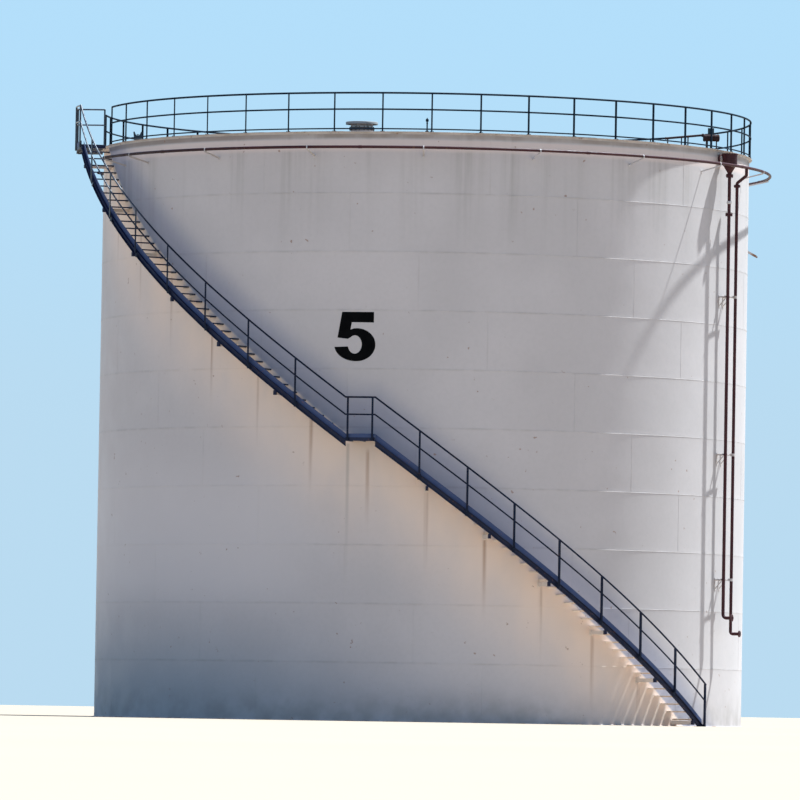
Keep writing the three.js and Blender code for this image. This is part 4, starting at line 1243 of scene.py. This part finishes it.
return_angle = platform_end + 0.3
front_drop = 0.075
platform_rails = rails_along(
    return_angle, upper_end, platform_level, platform_level - front_drop, platform_rows
)
platform_posts = ((upper_end - 0.4, 1.022), ((upper_end + platform_end) / 2, 1.060), (return_angle, 1.095))
platform_rails += [stair_post(angle, 0.090, 0.096, 0.008, top) for angle, top in platform_posts]
platform_rails += knuckles_at(
    [upper_end, return_angle], [platform_level - front_drop, platform_level], platform_rows
)
rim_post_reach = 8.634
rim_post_height = platform_level - rim_level + 1.095
for height, radius in platform_rows:
    across = turned(((radius, rim_post_reach), (radius, rail_reach)), 12, closed=False)
    place = bearing_matrix(return_angle, 0, platform_level + height) @ about("Y", 90)
    platform_rails.append(moved(across, place))
rim_bar_post = angle_post(0.0205, 0.041, 0.041, 0.005, 0.0, rim_post_height)
rim_base = block((-0.012, -0.055, 0.0), (0.032, 0.055, 0.008))
rim_post = joined([rim_bar_post, rim_base])
platform_rails.append(moved(rim_post, bearing_matrix(return_angle, rim_post_reach, rim_level + 0.004)))
corner_level = platform_level + platform_rows[0][0]
platform_rails.append(moved(ball(0.0216), bearing_matrix(return_angle, rim_post_reach, corner_level)))
finished(joined(platform_rails), "platform_rails", stair_rail_paint, "rail_paint", "top_platform_railing")

# Toe plates: a dusty blue strip of thin plate, welded on the stringers' backs. It stands up beside
# the treads and runs on round the landing and the top platform.
toe_paint = painted("dusty_blue_toe_paint", (0.042, 0.064, 0.148, 1), (0.052, 0.073, 0.156, 1), 0.3, 0.6)


def toe_plate(reach, from_angle, to_angle, from_level, to_level, low, high=0.096):
    strip = [(reach, low), (reach + 0.006, low), (reach + 0.006, high), (reach, high)]
    strip = section([(outward, from_level + up) for outward, up in strip])
    return bent(strip, from_angle, to_angle, to_level - from_level, 1.0)


toe_reach = stringer_inner
toe_low = channel_top - 0.010
lower_toe_end = lower_end - 0.75
toe_plates = [
    toe_plate(toe_reach, landing_start, lower_toe_end, landing_level, stair_level(lower_toe_end), toe_low),
    toe_plate(stringer_outer - 0.008, landing_end, landing_start, landing_level, landing_level, -0.002),
    toe_plate(toe_reach, upper_end, landing_end, platform_level, landing_level, toe_low),
    toe_plate(
        stringer_outer - 0.008, platform_end + 0.1, upper_end, platform_level, platform_level, -0.002
    ),
]
finished(joined(toe_plates), "toe_plates", toe_paint, "stair_paint")

# Cooling ring pipe: a dark red steel water pipe in rolled lengths that are joined by welded
# sleeves. It lies on arms round the top of the shell, and a cap is welded on each of its ends.
pipe_paint = painted("dark_red_pipe_paint", (0.056, 0.014, 0.017, 1), (0.043, 0.012, 0.014, 1), 0.3, 0.5)


def shaded_to_the_left(finish, shade_tone, share):
    """Paints shade on a finish, darker towards the tank's left-hand side."""
    tree = finish.node_tree
    shader = tree.nodes["Principled BSDF"]
    side = axes_of(tree, add_node(tree, "TexCoord").outputs["Object"])[0]
    clean = shader.inputs["Base Color"].links[0].from_socket
    shaded_tone = blended(tree, between(tree, side, -7.5, -3.0, share, 0.0), clean, shade_tone)
    tree.links.new(shaded_tone, shader.inputs["Base Color"])


# Painted shade: the ring pipe grows darker towards the left.
shaded_to_the_left(pipe_paint, (0.014, 0.009, 0.011, 1), 0.7)
ring_reach = 9.155
ring_level = 14.640
ring_radius = 0.0378
ring_start = -67.5
ring_end = 255.0
ring_pipe = bent(round_section(ring_reach, ring_level, ring_radius, 14), ring_start, ring_end, 0.0, 1.25)
sleeve_profile = ((0.0378, -0.05), (0.0435, -0.045), (0.0435, 0.045), (0.0378, 0.05))
sleeve = moved(turned(sleeve_profile, 20, closed=False), about("X", 90))
sleeve_bearings = [-48.3 + 37.6 * number for number in range(9)]
sleeves = copied(sleeve, [bearing_matrix(bearing, ring_reach, ring_level) for bearing in sleeve_bearings])
end_cap = moved(
    turned(((0.0385, -0.03), (0.0405, 0.0), (0.034, 0.014), (0.015, 0.022), (0, 0.024)), 20, closed=False),
    about("X", -90),
)
other_cap = moved(twin_of(end_cap), about("Z", 180))
moved(end_cap, bearing_matrix(ring_end, ring_reach, ring_level))
moved(other_cap, bearing_matrix(ring_start, ring_reach, ring_level))
cooling_ring = joined([ring_pipe, sleeves, end_cap, other_cap])
finished(cooling_ring, "cooling_ring", pipe_paint, "pipe_paint", "cooling_ring_pipe")

# Ring pipe arms: off-white angle bars that slope up from foot plates welded to the shell. At each
# arm a strap of thin steel is bent over the pipe and holds it down.
arm_bearings = [-66.6] + [-57.5 + 19 * number for number in range(17)]
arm_foot_level = 14.462
arm_head_level = 14.598
angle_bar = (
    (-0.018, 0.0), (0.018, 0.0), (0.018, -0.004), (-0.013, -0.005), (-0.014, -0.036), (-0.018, -0.036)
)
arm_rise = arm_head_level - arm_foot_level
arm_run = ring_reach - tank_radius
arm_length = math.hypot(arm_rise, arm_run) + 0.025
arm_bar = moved(extruded(angle_bar, arm_length), about("Y", -math.degrees(math.atan2(arm_rise, arm_run))))
moved(arm_bar, at(tank_radius - 0.002, 0, arm_foot_level))
arm_foot = block(
    (tank_radius - 0.001, -0.035, arm_foot_level - 0.06),
    (tank_radius + 0.006, 0.035, arm_foot_level + 0.03),
)
strap_ring = turned(((0.0380, -0.015), (0.0395, -0.015), (0.0395, 0.015), (0.0380, 0.015)), 32)
moved(strap_ring, about("X", 90))
lower_part_cut_off(strap_ring)
strap_legs = copied(
    block((-0.0008, -0.015, -0.045), (0.0008, 0.015, 0.001), 0.0003), [at(-0.03875), at(0.03875)]
)
pipe_strap = moved(joined([strap_ring, strap_legs]), at(ring_reach, 0, ring_level))
ring_arm = joined([arm_bar, arm_foot, pipe_strap])
ring_arms = copied(ring_arm, [bearing_matrix(bearing) for bearing in arm_bearings])
arm_paint = painted("clean_arm_paint", (0.56, 0.52, 0.51, 1), (0.50, 0.46, 0.45, 1), 0.15, 0.55)
# Painted shade: the arms grow darker towards the left.
shaded_to_the_left(arm_paint, (0.42, 0.375, 0.37, 1), 0.85)
finished(ring_arms, "ring_arms", arm_paint, "shell_paint")

# Spare arm: a pipe arm of a broader angle bar at the right-hand side, welded to its own plate on
# the shell. It has a lug at its end and no pipe on it.
spare_bearing = 90
spare_foot = 12.655
spare_end = 12.510
spare_reach = tank_radius + 0.270
spare_slope = math.degrees(math.atan2(spare_foot - spare_end, spare_reach - tank_radius))
spare_length = math.hypot(spare_foot - spare_end, spare_reach - tank_radius)
spare_growth = 1.7
broad_bar = tuple((spare_growth * across, spare_growth * up) for across, up in angle_bar)
spare_bar = moved(extruded(broad_bar, spare_length - 0.03), about("Y", spare_slope))
moved(spare_bar, at(tank_radius - 0.002, 0, spare_foot + 0.030))
spare_plate = block(
    (tank_radius - 0.001, -0.075, spare_foot - 0.10), (tank_radius + 0.010, 0.075, spare_foot + 0.05)
)
spare_lug = block(
    (spare_reach - 0.045, -0.004, spare_end - 0.020), (spare_reach - 0.004, 0.004, spare_end + 0.028)
)
spare_arm = moved(joined([spare_bar, spare_plate, spare_lug]), bearing_matrix(spare_bearing))
finished(spare_arm, "spare_arm", edge_paint, "shell_paint", "spare_pipe_arm")

# Risers: two dark red steel pipes up the right-hand side, each with an elbow and an open flange
# at its foot. The left one has flanged joints and a pale union below the foam chamber. The right
# one cranks outwards to the ring pipe, where it ends in a welded tee.
foam_bearing = 63.0
cooling_bearing = 66.3
riser_reach = 8.895
stub_end = riser_reach + 0.265


def open_flange(pipe_radius, flange_radius, count, hole_radius):
    """A flange about the Z axis, facing up at level 0, with its bolt holes plugged."""
    disc = turned(
        (
            (pipe_radius - 0.008, -0.030), (flange_radius - 0.0015, -0.030), (flange_radius, -0.0285),
            (flange_radius, -0.0035), (flange_radius - 0.0015, -0.002), (pipe_radius + 0.020, -0.002),
            (pipe_radius + 0.018, 0.0), (pipe_radius - 0.008, 0.0),
        ),
        32,
    )
    plug = turned(((hole_radius, -0.0022), (hole_radius, -0.0016)), 12, closed=False)
    plugs = ring_of(plug, count, flange_radius - 0.022)
    return joined([disc, plugs])


def riser(bearing, pipe_radius, stub_level, flange_radius, upper_corners, bend):
    corners = ((stub_end - 0.012, 0, stub_level), (riser_reach, 0, stub_level)) + upper_corners
    pipe = tube_along(corners, pipe_radius, bend)
    flange = moved(
        open_flange(pipe_radius, flange_radius, 8, 0.008), at(stub_end, 0, stub_level) @ about("Y", 90)
    )
    return moved(joined([pipe, flange]), bearing_matrix(bearing))


foam_place = bearing_matrix(foam_bearing, riser_reach)
foam_line = [riser(foam_bearing, 0.0435, 2.838, 0.095, ((riser_reach, 0, 14.375),), 0.10)]
union_low = ((0.0445, 13.655), (0.060, 13.662), (0.068, 13.668))
union_high = ((0.068, 13.722), (0.060, 13.728), (0.0445, 13.735))
foam_union = moved(turned(union_low + union_high, 8, closed=False), foam_place)
finished(foam_union, "foam_union", arm_paint, "fitting_grey")
for joint_low in (13.350, 14.362):
    foam_joint = flanged_joint(0.0445, 0.095, joint_low, joint_low + 0.060, 8, 0.020)
    foam_line.append(moved(foam_joint, foam_place))
finished(joined(foam_line), "foam_pipe", pipe_paint, "pipe_paint", "foam_riser")

crank_corners = ((riser_reach, 0, 14.235), (ring_reach, 0, 14.430), (ring_reach, 0, ring_level - 0.02))
cooling_pipe = riser(cooling_bearing, 0.042, 2.431, 0.085, crank_corners, 0.07)
cooling_joint = moved(
    flanged_joint(0.038, 0.085, 14.130, 14.180, 8, 0.018), bearing_matrix(cooling_bearing, riser_reach)
)
ring_tee = turned(((0.038, 14.53), (0.043, 14.54), (0.043, 14.60), (0.040, 14.61)), 20, closed=False)
moved(ring_tee, bearing_matrix(cooling_bearing, ring_reach))
cooling_line = joined([cooling_pipe, cooling_joint, ring_tee])
finished(cooling_line, "cooling_pipe", pipe_paint, "pipe_paint", "cooling_riser")

# Foam chamber: an upright drum of dark red plate with a bolted lid over a funnel. Foam comes up the
# riser and goes through the drum's flanged outlet into the tank.
chamber_low = 14.700
chamber_top = 14.980
chamber_radius = 0.210
outlet_height = 14.830
funnel = ((0.058, 14.424), (0.058, 14.478), (0.070, 14.486), (0.076, 14.500))
funnel += stepped(0, chamber_low, ((0.188, -0.014), (0.196, -0.006)))
lid_seat = ((-0.014, -0.050), (0, -0.046), (0, -0.030), (-0.006, -0.029))
lid_edge = ((-0.006, -0.026), (0, -0.025), (0, -0.009))
lid_middle = stepped(0, chamber_top, ((0.12, -0.006), (0, -0.004)))
drum_profile = funnel + stepped(chamber_radius, chamber_top, lid_seat + lid_edge) + lid_middle
drum = turned(drum_profile, 48, closed=False)
band_profile = ((0.194, 0), (0.200, 0.002), (0.200, 0.008), (0.194, 0.010))
drum_bands = copied(turned(band_profile, 48), [at(0, 0, chamber_low), at(0, 0, 14.80)])
lid_bolts = ring_of(fastener(0.016, 0.1), 16, 0.190, chamber_top - 0.0095)
drum_parts = moved(joined([drum, drum_bands, lid_bolts]), at(riser_reach))
drum_exit = at(tank_radius, 0, outlet_height) @ about("Y", 90)
exit_length = riser_reach - 0.15 - tank_radius
exit_joint = moved(flanged_joint(0.084, 0.128, 0.022, 0.062, 12, 0.016), drum_exit)
drum_parts = moved(joined([drum_parts, exit_joint]), bearing_matrix(foam_bearing))
finished(drum_parts, "foam_drum", pipe_paint, "pipe_paint", "foam_chamber")
exit_pipe = moved(turned(((0.085, -0.004), (0.085, exit_length)), 32, closed=False), drum_exit)
exit_pad = block(
    (tank_radius - 0.001, -0.13, outlet_height - 0.13),
    (tank_radius + 0.009, 0.13, outlet_height + 0.13),
    0.004,
)
drum_outlet = moved(joined([exit_pipe, exit_pad]), bearing_matrix(foam_bearing))
finished(drum_outlet, "foam_outlet", trim_paint, "shell_paint")

# Riser brackets: an angle bar across two off-white arms that are welded to pads on the shell. The
# left pipe is held by a thin U-bolt and the right one by a broad off-white strap.
bracket_middle = (foam_bearing + cooling_bearing) / 2
middle_turn = math.radians(cooling_bearing - bracket_middle)
bar_face = riser_reach * math.cos(middle_turn) - 0.048
pipe_offset = riser_reach * math.sin(middle_turn)
bracket_places = [bearing_matrix(bracket_middle, 0, height) for height in (3.840, 7.110, 11.240)]
bar_half = 0.330
bar_web = block((bar_face - 0.005, -bar_half, -0.016), (bar_face, bar_half, 0.016))
bar_leg = block((bar_face - 0.032, -bar_half, 0.011), (bar_face - 0.003, bar_half, 0.016))
bars = copied(joined([bar_web, bar_leg]), bracket_places)
bracket_nodes = [f"riser_bracket_{number}" for number in (1, 2, 3)]
finished(bars, "bracket_bars", trim_paint, "shell_paint", *bracket_nodes)

u_half = 0.052
u_ends = (bar_face - 0.03, bar_face + 0.10)
u_path = ((u_ends[0], -u_half, 0), (u_ends[1], -u_half, 0), (u_ends[1], u_half, 0), (u_ends[0], u_half, 0))
u_bolt = moved(tube_along(u_path, 0.006, 0.0515, 8), at(0, -pipe_offset))
nut_places = [at(bar_face - 0.005, -pipe_offset + side) for side in (-u_half, u_half)]
u_nuts = copied(moved(fastener(0.018), about("Y", -90)), nut_places)
u_bolts = copied(joined([u_bolt, u_nuts]), bracket_places)
finished(u_bolts, "bracket_u_bolts", pipe_paint, "pipe_paint")

arm_places = [at(0, side) for side in (-0.125, 0.125)]
bracket_arms = copied(
    block((tank_radius + 0.004, -0.018, -0.024), (bar_face - 0.004, 0.018, 0.011)), arm_places
)
bracket_knees = copied(
    moved(
        block((0, -0.004, -0.012), (0.26, 0.004, 0.012)),
        at(tank_radius + 0.006, 0, -0.235) @ about("Y", -48),
    ),
    arm_places,
)
bracket_pads = copied(
    block((tank_radius - 0.001, -0.045, -0.28), (tank_radius + 0.009, 0.045, 0.04)), arm_places
)
strap_arc = turned(((0.0425, -0.035), (0.0460, -0.035), (0.0460, 0.035), (0.0425, 0.035)), 32)
moved(strap_arc, at(riser_reach * math.cos(middle_turn), pipe_offset))
strap_wings = copied(
    block((bar_face, -0.022, -0.035), (bar_face + 0.012, 0.022, 0.035), 0.001),
    [at(0, pipe_offset - 0.060), at(0, pipe_offset + 0.060)],
)
wing_bolts = copied(
    moved(fastener(0.018), about("Y", 90)),
    [at(bar_face + 0.012, pipe_offset + side) for side in (-0.066, 0.066)],
)
bracket_support = joined([bracket_arms, bracket_knees, bracket_pads, strap_arc, strap_wings, wing_bolts])
supports = copied(bracket_support, bracket_places)
finished(supports, "bracket_supports", trim_paint, "shell_paint")

# Manhole: a neck of thick plate through the lowest course with a bolted cover that hangs on a
# small davit, and a stiffening pad round it. The real one is hidden behind the tank.
manhole_bearing = 160.0
manhole_level = 0.760
manhole_reach = 0.220
manhole_inner = 0.300


def shell_pad(radius, hole, sides=48):
    """A round pad, 10 mm thick, curved to the shell; x is outward."""
    edge = ((radius - 0.003, 0), (radius, 0.003), (radius, 0.010), (radius - 0.003, 0.012))
    pad = turned(((hole, 0),) + edge + ((hole, 0.012),), sides)
    return curved_to_shell(moved(pad, about("Y", 90)))


def curved_to_shell(piece):
    """Bends what was made flat, x outward and y along, to the curve of the shell."""
    for corner in piece.data.vertices:
        reach = tank_radius + corner.co.x
        turn = corner.co.y / tank_radius
        corner.co.x = reach * math.cos(turn)
        corner.co.y = reach * math.sin(turn)
    return piece


manhole_pad = moved(shell_pad(0.56, manhole_inner), at(0, 0, manhole_level))
neck_end = manhole_reach - 0.055
neck_profile = ((manhole_inner, -0.05), (0.310, -0.05), (0.310, neck_end), (manhole_inner, neck_end))
manhole_neck = turned(neck_profile, 48)
manhole_joint = flanged_joint(manhole_inner, 0.380, manhole_reach - 0.075, manhole_reach - 0.033, 20, 0.030)
cover_profile = ((0.340, -0.033), (0.336, -0.030), (0.20, -0.022), (0, -0.018))
cover_profile = tuple((radius, manhole_reach + out) for radius, out in cover_profile)
manhole_cover = turned(cover_profile, 48, closed=False)
handle_path = ((-0.10, 0.10, 0), (-0.10, 0.10, 0.04), (0.10, 0.10, 0.04), (0.10, 0.10, 0))
cover_handle = moved(tube_along(handle_path, 0.008, 0.018, 8), at(0, -0.1, manhole_reach - 0.026))
manhole_drum = joined([manhole_neck, manhole_joint, manhole_cover, cover_handle])
moved(manhole_drum, at(tank_radius, 0, manhole_level) @ about("X", 90) @ about("Y", 90))
davit_path = ((0.12, 0.43, -0.10), (0.12, 0.43, 0.46), (0.12, 0.02, 0.46), (0.12, 0.02, 0.40))
davit = moved(tube_along(davit_path, 0.018, 0.09, 12), at(tank_radius, 0, manhole_level))
socket_levels = (manhole_level, manhole_level + 0.22)
davit_sockets = copied(
    turned(((0.020, -0.03), (0.026, -0.028), (0.026, 0.028), (0.020, 0.03)), 16, closed=False),
    [at(tank_radius + 0.12, 0.43, height) for height in socket_levels],
)
socket_arms = copied(
    block((tank_radius - 0.01, 0.422, -0.012), (tank_radius + 0.10, 0.438, 0.012)),
    [at(0, 0, height) for height in socket_levels],
)
manhole = joined([manhole_pad, manhole_drum, davit, davit_sockets, socket_arms])
moved(manhole, bearing_matrix(manhole_bearing))
finished(manhole, "manhole", trim_paint, "shell_paint", "shell_manhole")

# Outlet nozzle: a flanged stub of thick pipe near the ground, welded through the lowest course
# with a stiffening pad round it. The real one is hidden behind the tank.
outlet_bearing = 190.0
outlet_level = 0.360
outlet_reach = 0.235
outlet_radius = 0.1095
outlet_inner = 0.1015
outlet_end = outlet_reach - 0.02
outlet_pad = moved(shell_pad(0.27, 0.105), at(0, 0, outlet_level))
outlet_profile = (
    (outlet_inner, -0.05), (outlet_radius, -0.05), (outlet_radius, outlet_end), (outlet_inner, outlet_end)
)
outlet_flange = moved(open_flange(outlet_radius, 0.170, 8, 0.011), at(0, 0, outlet_reach))
outlet_neck = joined([turned(outlet_profile, 40), outlet_flange])
moved(outlet_neck, at(tank_radius, 0, outlet_level) @ about("Y", 90))
outlet = moved(joined([outlet_pad, outlet_neck]), bearing_matrix(outlet_bearing))
finished(outlet, "outlet", trim_paint, "shell_paint", "outlet_nozzle")

# Number: a plain bold 5, 1.26 m high and painted in dull black on the shell, left of the middle.
# It is thin enough to lie in the paint, and is cut into strips that follow the shell's curve.
black_paint = painted(
    "black_number_paint", (0.0012, 0.0012, 0.0015, 1), (0.003, 0.0028, 0.003, 1), 0.0, 0.7, 0.1, 0.05
)


def arc(centre, radii, start, end, steps):
    turns = [math.radians(start + (end - start) * step / steps) for step in range(steps + 1)]
    ring = [(radii[0] * math.cos(turn), radii[1] * math.sin(turn)) for turn in turns]
    return [(centre[0] + along, centre[1] + up) for along, up in ring]


digit_outline = [(-0.345, 0.63), (0.487, 0.63), (0.49, 0.36), (-0.085, 0.365), (-0.12, 0.175)]
digit_outline += arc((0.05, -0.21), (0.487, 0.423), 100, -90, 24)
digit_outline += arc((0.033, -0.21), (0.575, 0.423), -94, -172, 12)
digit_outline += [(-0.172, -0.256)]
digit_outline += arc((0.0, -0.205), (0.182, 0.234), 193, 490, 28)
digit_outline += [(-0.186, -0.062), (-0.458, -0.03)]
clear_selection()
bpy.ops.mesh.primitive_circle_add(vertices=len(digit_outline), fill_type="NGON")
digit = bpy.context.object
for corner, (along, up) in zip(digit.data.vertices, digit_outline):
    corner.co = (0.0006, along, up)
editing(digit)
strip_width = 0.06
for strip in range(-9, 10):
    bpy.ops.mesh.select_all(action="SELECT")
    bpy.ops.mesh.bisect(plane_co=(0, strip * strip_width, 0), plane_no=(0, 1, 0))
bpy.ops.mesh.select_all(action="SELECT")
bpy.ops.mesh.normals_make_consistent(inside=False)
bpy.ops.object.mode_set(mode="OBJECT")
curved_to_shell(digit)
shaped_by(digit, "SOLIDIFY", thickness=0.0012, offset=0)
number_bearing = -11.8
number_level = 9.82
moved(digit, bearing_matrix(number_bearing, 0, number_level))
finished(digit, "number_5", black_paint, "rail_paint")
